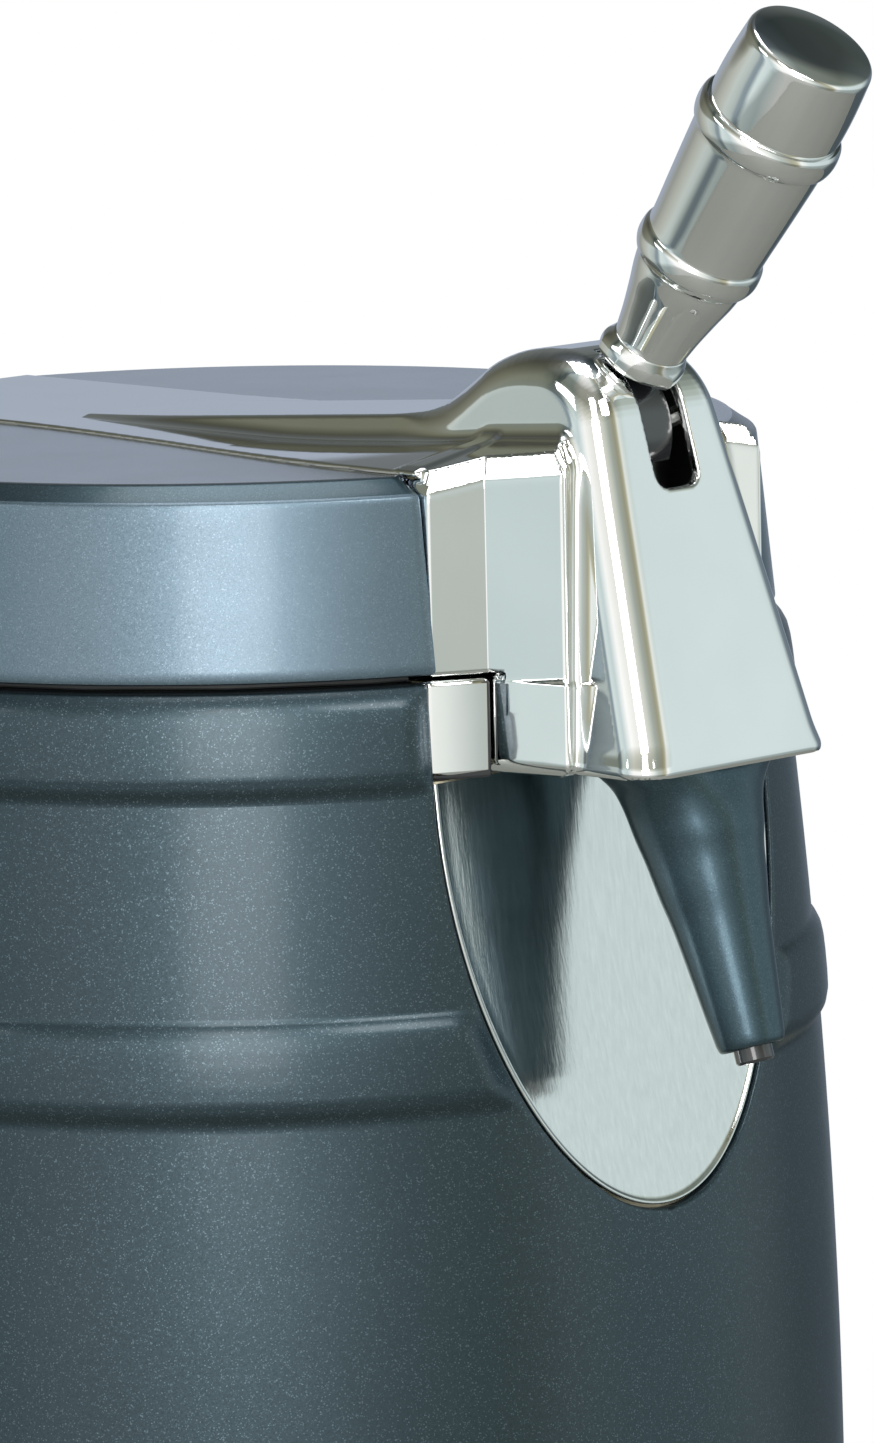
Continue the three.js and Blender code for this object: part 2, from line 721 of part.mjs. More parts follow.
function plateFace(depth, top) {
  const bottom = LID_TOP - BAY_SPRING_DROP - BAY_ARCH_DEPTH;
  const levels = Array.from({ length: PLATE_ROWS + 1 }, (_, i) => bottom + ((top - bottom) * i) / PLATE_ROWS);
  return [bottom - OVERRUN, ...levels].map((z) => [depth - plateReach(z), z]);
}

function splashPlate() {
  const profile = [...plateFace(0, SPLASH_TOP), ...plateFace(SPLASH_THICKNESS, SPLASH_TOP).reverse()];
  return prismAcross(profile, -BAY_HALF_WIDTH, BAY_HALF_WIDTH).intersect(bayPrism(RUNNING_GAP, 0));
}

// The room that the plate takes from the foam behind it
function plateNotch() {
  const back = plateFace(SPLASH_THICKNESS + SEAT_GAP, SPLASH_TOP);
  const profile = [...back, [-FAR, SPLASH_TOP], [-FAR, back[0][1]]];
  const half = BAY_HALF_WIDTH + RUNNING_GAP;
  return prismAcross(profile, -half, half);
}

function tapBayBridge() {
  const gap = VALLEY_HALF_WIDTH + RUNNING_GAP;
  const back = BRIDGE_PANEL_REACH - BRIDGE_PANEL_THICKNESS;
  const slope = (VALLEY_REACH - SHOULDER_OUTER_REACH) / (BAY_TOP_HALF_WIDTH - VALLEY_HALF_WIDTH);
  const outerReach = VALLEY_REACH + SHOULDER_STEP - slope * (BAY_HALF_WIDTH - VALLEY_HALF_WIDTH);
  const plan = mirrored([
    [-gap, -BRIDGE_PANEL_REACH],
    [-gap, -VALLEY_REACH - SHOULDER_STEP],
    [-BAY_HALF_WIDTH, -outerReach],
    [-BAY_HALF_WIDTH, -back],
  ]);
  return prismUp(plan, BRIDGE_BOTTOM, BARREL_TOP).intersect(bayPrism(RUNNING_GAP, 0));
}

// Cold chamber
function innerTub() {
  const outer = CHAMBER_RADIUS + TUB_WALL;
  const bottom = CHAMBER_FLOOR - TUB_FLOOR;
  return revolve(
    [
      [0, bottom],
      [outer, bottom],
      [outer, TUB_TOP - TUB_WALL],
      [outer + TUB_FLANGE_WIDTH, TUB_TOP - TUB_WALL],
      [outer + TUB_FLANGE_WIDTH, TUB_TOP],
      [CHAMBER_RADIUS, TUB_TOP],
      [CHAMBER_RADIUS, CHAMBER_FLOOR],
      [0, CHAMBER_FLOOR],
    ],
    ROUND_SIDES,
  );
}

const bayNotch = (top) =>
  box(
    -BAY_HALF_WIDTH - RUNNING_GAP,
    BAY_HALF_WIDTH + RUNNING_GAP,
    -FAR,
    -(BRIDGE_PANEL_REACH - BRIDGE_PANEL_THICKNESS - SEAT_GAP),
    BRIDGE_BOTTOM - SEAT_GAP,
    top,
  );

function tubCollar() {
  const outer = BARREL_END_RADIUS - BARREL_FLANGE_WIDTH - SEAT_GAP;
  const ledge = BARREL_TOP - COLLAR_LEDGE_DROP;
  const bottom = BARREL_TOP - COLLAR_RING_THICKNESS;
  const ring = revolve([
    [CHAMBER_RADIUS, bottom],
    [outer + COLLAR_LEDGE_WIDTH, bottom],
    [outer + COLLAR_LEDGE_WIDTH, ledge],
    [outer, ledge],
    [outer, BARREL_TOP],
    [CHAMBER_RADIUS, BARREL_TOP],
  ]);
  return cut(ring, bayNotch(LID_TOP));
}

function insulationJacket() {
  const inner = CHAMBER_RADIUS + TUB_WALL + SEAT_GAP;
  const top = TUB_TOP - TUB_WALL - SEAT_GAP;
  const seat = CHAMBER_FLOOR - TUB_FLOOR - SEAT_GAP;
  const hole = COLD_BLOCK_WIDTH / 2 + SEAT_GAP;
  const jacket = revolve([
    [0, INSULATION_UNDERSIDE],
    ...barrelInside(INSULATION_INSET, INSULATION_UNDERSIDE, top),
    [inner, top],
    [inner, seat],
    [0, seat],
  ]);
  return cut(
    jacket,
    bayNotch(LID_TOP),
    plateNotch(),
    box(-hole, hole, -hole, hole, INSULATION_UNDERSIDE - OVERRUN, seat + OVERRUN),
  );
}

function kegRest() {
  const bottom = CHAMBER_FLOOR + SEAT_GAP;
  return revolve([
    [REST_HOLE_RADIUS, bottom],
    [REST_RADIUS, bottom],
    [REST_RADIUS, bottom + REST_THICKNESS],
    [REST_HOLE_RADIUS, bottom + REST_THICKNESS],
  ]);
}

// Cooling stack, each piece resting on the next one down
const coldBlockBottom = () => CHAMBER_FLOOR - TUB_FLOOR - SEAT_GAP - COLD_BLOCK_HEIGHT;
const peltierBottom = () => coldBlockBottom() - SEAT_GAP - PELTIER_HEIGHT;
const sinkBottom = () => peltierBottom() - SEAT_GAP - SINK_BASE - FIN_HEIGHT;

function squareBlock(width, z0, z1) {
  return box(-width / 2, width / 2, -width / 2, width / 2, z0, z1);
}

function heatSink() {
  const half = SINK_WIDTH / 2;
  const finTop = sinkBottom() + FIN_HEIGHT;
  const pitch = (SINK_WIDTH - FIN_THICKNESS) / (FIN_COUNT - 1);
  const fins = Array.from({ length: FIN_COUNT }, (_, i) => {
    const x = -half + pitch * i;
    return box(x, x + FIN_THICKNESS, -half, half, sinkBottom(), finTop + SINK_BASE / 2);
  });
  return join(squareBlock(SINK_WIDTH, finTop, finTop + SINK_BASE), ...fins);
}

function fanFrame() {
  const bottom = fanBottom();
  const top = bottom + FAN_HEIGHT;
  const half = FAN_STRUT_WIDTH / 2;
  const bore = disc(FAN_BORE_RADIUS, bottom - OVERRUN, top + OVERRUN);
  const reach = FAN_BORE_RADIUS + FAN_STRUT_HEIGHT / 2;
  const struts = [
    box(-reach, reach, -half, half, bottom, bottom + FAN_STRUT_HEIGHT),
    box(-half, half, -reach, reach, bottom, bottom + FAN_STRUT_HEIGHT),
  ];
  const hub = disc(FAN_HUB_RADIUS, bottom, bottom + FAN_STRUT_HEIGHT, SMALL_SIDES);
  return join(cut(squareBlock(FAN_WIDTH, bottom, top), bore), ...struts, hub);
}

function fanRotor() {
  const bottom = fanBottom() + FAN_STRUT_HEIGHT + SEAT_GAP;
  const hub = disc(FAN_HUB_RADIUS, bottom, bottom + ROTOR_HEIGHT, SMALL_SIDES);
  const start = FAN_HUB_RADIUS * Math.cos(Math.PI / SMALL_SIDES) - FAN_BLADE_THICKNESS;
  const blades = Array.from({ length: FAN_BLADE_COUNT }, (_, i) => {
    const length = FAN_BLADE_REACH - start;
    const chord = (ROTOR_HEIGHT - FAN_BLADE_THICKNESS) / Math.cos(radians(FAN_BLADE_TILT));
    const blade = new THREE.BoxGeometry(length, FAN_BLADE_THICKNESS, chord);
    blade.rotateX(radians(FAN_BLADE_TILT));
    blade.translate(start + length / 2, 0, bottom + ROTOR_HEIGHT / 2);
    blade.rotateZ((2 * Math.PI * i) / FAN_BLADE_COUNT);
    return solid(blade);
  });
  const band = box(-FAR, FAR, -FAR, FAR, bottom, bottom + ROTOR_HEIGHT);
  return join(hub, ...blades).intersect(band);
}

function powerSupply() {
  const bottom = FOOT_HEIGHT + PAN_FLOOR + SEAT_GAP;
  return box(
    -SUPPLY_OFFSET - SUPPLY_WIDTH / 2,
    -SUPPLY_OFFSET + SUPPLY_WIDTH / 2,
    -SUPPLY_LENGTH / 2,
    SUPPLY_LENGTH / 2,
    bottom,
    bottom + SUPPLY_HEIGHT,
  );
}

// Control panel
const fasciaReach = barrelRadius(FASCIA_LEVEL) + FASCIA_PROUD;
const buttonPlaces = [0, 1, 2].map((i) => BUTTON_OFFSET + i * BUTTON_PITCH);

function controlFascia() {
  const face = prismDeep(fasciaOutline(0), -fasciaReach, -fasciaReach + FASCIA_DEPTH);
  const hollow = prismDeep(fasciaOutline(-FASCIA_RIM), -fasciaReach + FASCIA_FACE, 0);
  const pocket = prismDeep(
    roundedRectangle(WINDOW_HALF_WIDTH, WINDOW_HALF_HEIGHT, FASCIA_RIM, WINDOW_OFFSET, FASCIA_LEVEL),
    -fasciaReach - OVERRUN,
    -fasciaReach + WINDOW_THICKNESS,
  );
  const holes = buttonPlaces.map((x) =>
    rod([x, -fasciaReach - OVERRUN, FASCIA_LEVEL], [x, 0, FASCIA_LEVEL], BUTTON_RADIUS + SEAT_GAP),
  );
  return cut(face, hollow, pocket, ...holes);
}

function displayWindow() {
  return prismDeep(
    roundedRectangle(
      WINDOW_HALF_WIDTH - SEAT_GAP,
      WINDOW_HALF_HEIGHT - SEAT_GAP,
      FASCIA_RIM,
      WINDOW_OFFSET,
      FASCIA_LEVEL,
    ),
    -fasciaReach,
    -fasciaReach + WINDOW_THICKNESS - SEAT_GAP,
  );
}

const boardFront = -fasciaReach + FASCIA_DEPTH + SEAT_GAP;

function button(x) {
  const front = -fasciaReach - BUTTON_PROUD;
  const flangeFront = -fasciaReach + FASCIA_FACE + SEAT_GAP;
  const stemEnd = boardFront - BUTTON_TRAVEL - SEAT_GAP;
  return join(
    rod([x, front, FASCIA_LEVEL], [x, flangeFront + BUTTON_FLANGE / 2, FASCIA_LEVEL], BUTTON_RADIUS),
    rod([x, flangeFront, FASCIA_LEVEL], [x, flangeFront + BUTTON_FLANGE, FASCIA_LEVEL], BUTTON_FLANGE_RADIUS),
    rod([x, flangeFront + BUTTON_FLANGE / 2, FASCIA_LEVEL], [x, stemEnd, FASCIA_LEVEL], BUTTON_STEM_RADIUS),
  );
}

function controlBoard() {
  const outline = roundedRectangle(
    FASCIA_HALF_WIDTH - FASCIA_RIM / 2,
    FASCIA_HALF_HEIGHT - FASCIA_RIM / 2,
    FASCIA_CORNER,
    0,
    FASCIA_LEVEL,
  );
  return prismDeep(outline, boardFront, boardFront + BOARD_THICKNESS);
}

// Rear cover, its screws and the power inlet
const coverMiddle = (COVER_LOW + COVER_HIGH) / 2;
const coverFace = (x, z) => Math.sqrt((barrelRadius(z) + COVER_THICKNESS + SEAT_GAP) ** 2 - x ** 2);

function rearVentCover() {
  const outer = barrelInside(-COVER_THICKNESS - SEAT_GAP, COVER_LOW, COVER_HIGH, PATCH_ROWS);
  const inner = barrelInside(-SEAT_GAP, COVER_LOW, COVER_HIGH, PATCH_ROWS).reverse();
  const plate = revolve([...outer, ...inner], BARREL_SIDES).intersect(
    box(-COVER_HALF_WIDTH, COVER_HALF_WIDTH, 0, FAR, COVER_LOW, COVER_HIGH),
  );
  const pitch = (COVER_HIGH - COVER_LOW - 2 * COVER_LIP) / (LOUVRE_COUNT + 1);
  const louvres = Array.from({ length: LOUVRE_COUNT }, (_, i) => {
    const z = COVER_LOW + COVER_LIP + pitch * (i + 1);
    const [x0, x1] = [LOUVRE_OFFSET - LOUVRE_HALF_LENGTH, LOUVRE_OFFSET + LOUVRE_HALF_LENGTH];
    return box(x0, x1, 0, FAR, z - LOUVRE_HEIGHT / 2, z + LOUVRE_HEIGHT / 2);
  });
  return cut(plate, ...louvres, inletBlock(SEAT_GAP), ...screwHoles());
}

function screwPlaces() {
  const [x, z] = [COVER_HALF_WIDTH - COVER_LIP / 2, COVER_HIGH - COVER_LIP / 2 - coverMiddle];
  return [-1, 1].flatMap((sx) => [-1, 1].map((sz) => [sx * x, coverMiddle + sz * z]));
}

// A screw square to the cover at its place, with its head's underside resting on the cover
function screw([x, z], grow) {
  const face = coverFace(x, z) + SEAT_GAP;
  const outward = new THREE.Vector3(x, face, 0).normalize();
  const seat = new THREE.Vector3(x, face, z);
  const at = (distance) => seat.clone().addScaledVector(outward, distance).toArray();
  const shank = rod(at(-SCREW_LENGTH - grow), at(SCREW_HEAD / 2), SCREW_SHANK_RADIUS + grow);
  return grow > 0 ? shank : join(shank, rod(at(0), at(SCREW_HEAD), SCREW_HEAD_RADIUS));
}

const screwHoles = () => screwPlaces().map((place) => screw(place, SEAT_GAP));

function inletBlock(grow) {
  const outline = roundedRectangle(
    INLET_HALF_WIDTH + grow,
    INLET_HALF_HEIGHT + grow,
    FASCIA_RIM + grow,
    INLET_OFFSET,
    coverMiddle,
  );
  const back = coverFace(INLET_OFFSET, coverMiddle) + INLET_PROUD;
  return prismDeep(outline, back - INLET_DEPTH - grow, back + grow);
}

function powerInlet() {
  const share = INLET_SOCKET_SHARE;
  const outline = roundedRectangle(
    INLET_HALF_WIDTH * share,
    INLET_HALF_HEIGHT * share,
    FASCIA_RIM * share,
    INLET_OFFSET,
    coverMiddle,
  );
  const back = coverFace(INLET_OFFSET, coverMiddle) + INLET_PROUD;
  return cut(inletBlock(0), prismDeep(outline, back - INLET_DEPTH * share, back + OVERRUN));
}

// Hinge
const hingeLevel = BARREL_TOP + LID_GAP / 2;

function hingeBracket() {
  const bottom = hingeLevel - HINGE_PLATE_GAP - HINGE_BRACKET_HEIGHT;
  const top = hingeLevel - HINGE_PLATE_GAP;
  const plate = box(-HINGE_HALF_WIDTH, HINGE_HALF_WIDTH, 0, HINGE_REACH, bottom, top);
  const knuckleHalf = HINGE_KNUCKLE_HALF_WIDTH;
  const arm = box(
    -knuckleHalf,
    knuckleHalf,
    HINGE_REACH - HINGE_KNUCKLE_RADIUS,
    HINGE_REACH,
    top - HINGE_KNUCKLE_RADIUS,
    hingeLevel,
  );
  const knuckle = rod(
    [-knuckleHalf, HINGE_REACH, hingeLevel],
    [knuckleHalf, HINGE_REACH, hingeLevel],
    HINGE_KNUCKLE_RADIUS,
  );
  return cut(join(plate, arm, knuckle), barrelBlank(SEAT_GAP), lidBlank(RUNNING_GAP), hingeBore());
}

function hingeBore() {
  const reach = HINGE_HALF_WIDTH + OVERRUN;
  return rod([-reach, HINGE_REACH, hingeLevel], [reach, HINGE_REACH, hingeLevel], PIN_RADIUS + SEAT_GAP);
}

function hingeLeaf() {
  const bottom = hingeLevel + HINGE_PLATE_GAP;
  const half = HINGE_HALF_WIDTH;
  const plate = box(-half, half, 0, HINGE_PLATE_REACH, bottom, bottom + HINGE_LEAF_HEIGHT);
  const inner = HINGE_KNUCKLE_HALF_WIDTH + RUNNING_GAP;
  const arms = [-1, 1].flatMap((side) => {
    const [x0, x1] = side < 0 ? [-half, -inner] : [inner, half];
    const front = HINGE_REACH - HINGE_KNUCKLE_RADIUS;
    return [
      rod([x0, HINGE_REACH, hingeLevel], [x1, HINGE_REACH, hingeLevel], HINGE_KNUCKLE_RADIUS),
      box(x0, x1, front, HINGE_PLATE_REACH, hingeLevel, bottom + HINGE_KNUCKLE_RADIUS),
    ];
  });
  return cut(join(plate, ...arms), lidBlank(SEAT_GAP), barrelBlank(RUNNING_GAP), hingeBore());
}

function hingePin() {
  const half = HINGE_HALF_WIDTH;
  return rod([-half, HINGE_REACH, hingeLevel], [half, HINGE_REACH, hingeLevel], PIN_RADIUS);
}

// Lid
const lidCut = () => bayPrism(0, BAY_BACK_REACH - SEAT_GAP);

function lidShell() {
  const shell = revolve(
    [
      [0, LID_TOP - LID_WALL],
      [LID_TOP_RADIUS - LID_WALL / 2, LID_TOP - LID_WALL],
      [LID_SHOULDER_RADIUS - LID_WALL, LID_SHOULDER - LID_WALL / 2],
      [LID_BASE_RADIUS - LID_WALL, LID_BOTTOM],
      [LID_BASE_RADIUS, LID_BOTTOM],
      [LID_SHOULDER_RADIUS, LID_SHOULDER],
      [LID_TOP_RADIUS, LID_TOP],
      [0, LID_TOP],
    ],
    BARREL_SIDES,
  );
  return cut(shell, lidCut());
}

function lidLiner() {
  const flangeRadius = LID_BASE_RADIUS - LID_WALL - RUNNING_GAP;
  const seat = LID_BOTTOM + SEAT_GAP;
  const bottom = LID_BOTTOM - LINER_PLUG_DEPTH;
  const inner = LINER_PLUG_RADIUS - LINER_WALL;
  const cup = revolve([
    [COUPLER_RADIUS + SEAT_GAP, bottom],
    [LINER_PLUG_RADIUS, bottom],
    [LINER_PLUG_RADIUS, seat],
    [flangeRadius, seat],
    [flangeRadius, seat + LINER_WALL],
    [inner, seat + LINER_WALL],
    [inner, bottom + LINER_WALL],
    [COUPLER_RADIUS + SEAT_GAP, bottom + LINER_WALL],
  ]);
  return cut(cup, lidCut());
}

function lidInsulation() {
  const plug = LINER_PLUG_RADIUS - LINER_WALL - SEAT_GAP;
  const bottom = LID_BOTTOM - LINER_PLUG_DEPTH + LINER_WALL + SEAT_GAP;
  const ledge = LID_BOTTOM + LINER_WALL + 2 * SEAT_GAP;
  const top = LID_TOP - LID_WALL - SEAT_GAP;
  const wide = LID_BASE_RADIUS - LID_WALL - RUNNING_GAP;
  const filling = revolve([
    [0, bottom],
    [plug, bottom],
    [plug, ledge],
    [wide, ledge],
    [LID_SHOULDER_RADIUS - LID_WALL - RUNNING_GAP, LID_SHOULDER - LID_WALL],
    [LID_TOP_RADIUS - LID_BEVEL_HEIGHT, top],
    [0, top],
  ]);
  const couplerTop = LID_TOP - COUPLER_TOP_DROP + SEAT_GAP;
  const channel = box(
    -TUBE_CHANNEL_HALF_WIDTH,
    TUBE_CHANNEL_HALF_WIDTH,
    -BAY_BACK_REACH - OVERRUN,
    TUBE_CHANNEL_HALF_WIDTH,
    LID_TOP - VALVE_PORT_DROP - TUBE_CHANNEL_HALF_WIDTH,
    LID_TOP,
  );
  return cut(filling, disc(COUPLER_RADIUS + SEAT_GAP, 0, couplerTop), channel, lidCut());
}

function lidGasket() {
  const ring = revolve([
    [GASKET_INNER_RADIUS, BARREL_TOP + SEAT_GAP],
    [BARREL_END_RADIUS - GASKET_RECESS, BARREL_TOP + SEAT_GAP],
    [BARREL_END_RADIUS - GASKET_RECESS, LID_BOTTOM],
    [GASKET_INNER_RADIUS, LID_BOTTOM],
  ]);
  return cut(ring, lidCut());
}

// Chrome tower
const slope = Math.tan(radians(TOWER_FACE_LEAN));
const faceTopAngle = 90 - TOWER_FACE_LEAN;
const towerTopLevel = PIVOT_LEVEL + TOWER_CROWN_RADIUS;

function towerHalfWidth(z) {
  const share = (z - TOWER_BOTTOM) / (towerTopLevel - TOWER_BOTTOM);
  return TOWER_BASE_HALF_WIDTH + (TOWER_TOP_HALF_WIDTH - TOWER_BASE_HALF_WIDTH) * share;
}

const rampHeight = (y) => SPINE_BASE_RISE + Math.max(0, (SPINE_RAMP_START - y) * SPINE_RAMP_SLOPE);

// A side view carried across the tower, its long edges rounded and its sides drawn in towards the top
function taperedBody(profile, inset, corner) {
  const half = TOWER_BASE_HALF_WIDTH - inset;
  const body = new THREE.ExtrudeGeometry(polygon(profile), {
    depth: 2 * (half - corner),
    bevelEnabled: corner > 0,
    bevelSize: corner,
    bevelOffset: -corner,
    bevelThickness: corner,
    bevelSegments: TOWER_CORNER_STEPS,
  });
  const turn = new THREE.Matrix4().makeBasis(
    new THREE.Vector3(0, 1, 0),
    new THREE.Vector3(0, 0, 1),
    new THREE.Vector3(1, 0, 0),
  );
  body.applyMatrix4(turn).translate(corner - half, 0, 0);
  const place = body.getAttribute("position");
  for (let i = 0; i < place.count; i++) {
    place.setX(i, (place.getX(i) * (towerHalfWidth(place.getZ(i)) - inset)) / half);
  }
  return solid(body);
}

function frontFace(radius, z) {
  const [y, top] = fromPivot(radius, faceTopAngle);
  return [y - (top - z) * slope, z];
}

function towerOutside() {
  const foot = rampHeight(-PIVOT_REACH + TOWER_BACK_RUN) + LID_TOP;
  const below = TOWER_BOTTOM - 2 * TOWER_CORNER;
  const back = TOWER_BACK_SHARES.map(([run, rise]) => [
    -PIVOT_REACH + run * TOWER_BACK_RUN,
    foot + rise * (towerTopLevel - foot),
  ]);
  const profile = [
    frontFace(TOWER_CROWN_RADIUS, below),
    ...arc(TOWER_CROWN_RADIUS, faceTopAngle, 0, TOWER_CROWN_STEPS),
    ...back,
    [-PIVOT_REACH + TOWER_BACK_RUN, below],
  ];
  return cut(
    taperedBody(profile, 0, TOWER_CORNER),
    box(-FAR, FAR, -FAR, FAR, below - OVERRUN, TOWER_BOTTOM),
    box(-FAR, FAR, -BAY_BACK_REACH, FAR, 0, LID_TOP + SEAT_GAP),
    box(-FAR, FAR, -TOWER_LOWER_REACH, FAR, 0, LID_BOTTOM),
  );
}

function towerHollow() {
  const radius = TOWER_CROWN_RADIUS - TOWER_WALL;
  const back = -BAY_BACK_REACH - TOWER_WALL;
  const lowBack = -TOWER_LOWER_REACH - TOWER_WALL;
  const crown = arc(radius, faceTopAngle, STRIP_ANGLES[0] - STRIP_END_GAP, TOWER_CROWN_STEPS);
  const profile = [
    frontFace(radius, TOWER_BOTTOM - OVERRUN),
    ...crown,
    [back, crown.at(-1)[1]],
    [back, LID_BOTTOM + TOWER_WALL],
    [lowBack, LID_BOTTOM],
    [lowBack, TOWER_BOTTOM - OVERRUN],
  ];
  return taperedBody(profile, TOWER_WALL, 0);
}

// One section of the shoulders or the spine: outer edge, edge top, wall foot and wall top, mirrored
function spineSection(y, bottom, outer, edgeInset, wallFoot) {
  const ramp = LID_TOP + rampHeight(y);
  const edge = LID_TOP + SPINE_BASE_RISE;
  const foot = edge + wallFoot * Math.max(0, ramp - edge - SPINE_WALL_HEIGHT);
  return mirrored([
    [-outer, bottom],
    [-outer, edgeInset > 0 ? LID_TOP - SHOULDER_BEVEL_DROP : bottom + SEAT_GAP],
    [-outer + edgeInset, edge],
    [-SPINE_WALL_HALF_WIDTH, foot],
    [-SPINE_TOP_HALF_WIDTH, Math.max(ramp, foot)],
  ]).map(([x, z]) => [x, y, z]);
}

function shoulders() {
  const stations = [
    [SHOULDER_REACH, SHOULDER_HALF_WIDTH],
    [VALLEY_REACH, VALLEY_HALF_WIDTH],
    [SHOULDER_OUTER_REACH, BAY_TOP_HALF_WIDTH],
    [BAY_BACK_REACH, BAY_TOP_HALF_WIDTH],
  ];
  const block = loft(
    stations.map(([reach, outer]) => spineSection(-reach, LID_BOTTOM, outer, SHOULDER_BEVEL_INSET, 1)),
  );
  return block.intersect(bayPrism(RUNNING_GAP, 0));
}

function lowerShoulders() {
  const plan = mirrored([
    [-VALLEY_HALF_WIDTH, -TOWER_LOWER_REACH],
    [-VALLEY_HALF_WIDTH, -VALLEY_REACH - SHOULDER_STEP],
    [-SHOULDER_HALF_WIDTH - SHOULDER_STEP, -SHOULDER_REACH - SHOULDER_STEP],
  ]);
  return prismUp(plan, TOWER_BOTTOM, LID_BOTTOM + SEAT_GAP);
}

function spine() {
  const run = BAY_BACK_REACH + SPINE_BACK_REACH;
  return loft(
    SPINE_STATIONS_SHARES.map(([along, width, wallFoot]) =>
      spineSection(
        -BAY_BACK_REACH - OVERRUN / 2 + along * (run + OVERRUN / 2),
        LID_TOP + SEAT_GAP,
        SPINE_FRONT_HALF_WIDTH * width,
        0,
        wallFoot,
      ),
    ),
  );
}

function leverSlot() {
  const far = 2 * TOWER_CROWN_RADIUS;
  const low = LID_TOP - SLOT_FOOT_DROP;
  const profile = [
    fromPivot(HUB_RADIUS, SLOT_START_ANGLE),
    fromPivot(far, SLOT_START_ANGLE),
    fromPivot(far, faceTopAngle / 2),
    fromPivot(far, faceTopAngle),
    [frontFace(far, low)[0], low],
    [frontFace(TOWER_CROWN_RADIUS - TOWER_WALL - RUNNING_GAP, low)[0], low],
  ];
  return prismAcross(profile, -SLOT_HALF_WIDTH, SLOT_HALF_WIDTH);
}

function towerHousing() {
  const level = LID_TOP - VALVE_PORT_DROP;
  const half = TUBE_CHANNEL_HALF_WIDTH;
  const tubeHole = box(-half, half, -BAY_BACK_REACH - 2 * TOWER_WALL, 0, level - half, level + half);
  const body = join(towerOutside(), shoulders(), lowerShoulders(), spine());
  return cut(body, towerHollow(), leverSlot(), tubeHole);
}

// Lever, collar and handle
const spoutAngle = 180 - SPOUT_LEAN;

// The cam's radius grows steadily behind the plunger's head, so that the turning lever drives it down
function camPoints() {
  const head = THREE.MathUtils.radToDeg(Math.atan(PLUNGER_RADIUS / HUB_RADIUS));
  const start = spoutAngle - head;
  const rise = CAM_LIFT / LEVER_TRAVEL;
  return Array.from({ length: HUB_STEPS }, (_, i) => {
    const angle = start - (360 * i) / HUB_STEPS;
    const turned = start - angle;
    const ramp = turned <= LEVER_TRAVEL + CAM_LEAD ? turned * rise : 0;
    return fromPivot(HUB_RADIUS + ramp, angle);
  });
}

function leverArm() {
  const hub = prismAcross(camPoints(), -HUB_HALF_WIDTH, HUB_HALF_WIDTH);
  const [start, end] = STRIP_ANGLES;
  const strip = prismAcross(
    [
      ...arc(STRIP_RADIUS, start, end, STRIP_STEPS),
      ...arc(STRIP_RADIUS - STRIP_THICKNESS, end, start, STRIP_STEPS),
    ],
    -STRIP_HALF_WIDTH,
    STRIP_HALF_WIDTH,
  );
  const side = (radius) => THREE.MathUtils.radToDeg(Math.atan(NECK_HALF_THICKNESS / radius));
  const top = COLLAR_RADIUS - SEAT_GAP;
  const neck = prismAcross(
    [
      fromPivot(HUB_RADIUS - PIN_RADIUS, LEVER_LEAN - side(HUB_RADIUS)),
      fromPivot(top, LEVER_LEAN - side(top)),
      fromPivot(top, LEVER_LEAN + side(top)),
      fromPivot(HUB_RADIUS - PIN_RADIUS, LEVER_LEAN + side(HUB_RADIUS)),
    ],
    -NECK_HALF_WIDTH,
    NECK_HALF_WIDTH,
  );
  const bore = rod(
    [-HUB_HALF_WIDTH - OVERRUN, -PIVOT_REACH, PIVOT_LEVEL],
    [HUB_HALF_WIDTH + OVERRUN, -PIVOT_REACH, PIVOT_LEVEL],
    PIN_RADIUS + SEAT_GAP,
  );
  return cut(join(hub, strip, neck), bore);
}

function leverPin() {
  const half = towerHalfWidth(PIVOT_LEVEL) - TOWER_WALL - SEAT_GAP;
  return rod([-half, -PIVOT_REACH, PIVOT_LEVEL], [half, -PIVOT_REACH, PIVOT_LEVEL], PIN_RADIUS);
}

// A profile turned round the upright axis, then leaned forward and set on the pivot
function onPivot(body, lean) {
  return body.rotate([lean, 0, 0]).translate([0, -PIVOT_REACH, PIVOT_LEVEL]);
}

function handleCollar() {
  const [start, end] = COLLAR_ANGLES;
  const saddle = prismAcross(
    [
      ...arc(COLLAR_RADIUS, start, end, COLLAR_STEPS),
      ...arc(COLLAR_RADIUS + COLLAR_THICKNESS, end, start, COLLAR_STEPS),
    ],
    -COLLAR_HALF_WIDTH,
    COLLAR_HALF_WIDTH,
  );
  const top = HANDLE_FOOT - SEAT_GAP;
  const boss = disc(HANDLE_PROFILE[0][0], COLLAR_RADIUS + COLLAR_THICKNESS / 2, top, SMALL_SIDES);
  return join(saddle, onPivot(boss, LEVER_LEAN));
}

function tapHandle() {
  const [, foot] = HANDLE_PROFILE[0];
  const [, top] = HANDLE_PROFILE.at(-1);
  const bar = revolve([[0, foot], ...HANDLE_PROFILE, [0, top]], ROUND_SIDES);
  const floor = top - CAP_SPIGOT_DEPTH - SEAT_GAP;
  const socket = disc(CAP_SPIGOT_RADIUS + SEAT_GAP, floor, top + OVERRUN, SMALL_SIDES);
  return onPivot(cut(bar, socket), LEVER_LEAN);
}

function handleCap() {
  const [, foot] = CAP_PROFILE[0];
  const [, top] = CAP_PROFILE.at(-1);
  const cap = revolve([[0, foot], ...CAP_PROFILE, [0, top]], ROUND_SIDES);
  const spigot = disc(CAP_SPIGOT_RADIUS, foot - CAP_SPIGOT_DEPTH, foot + SEAT_GAP, SMALL_SIDES);
  return onPivot(join(cap, spigot), LEVER_LEAN);
}

// Spout and valve
const onSpoutAxis = (distance) => [0, ...fromPivot(distance, spoutAngle)];
const onSpout = (body) => onPivot(body, spoutAngle);

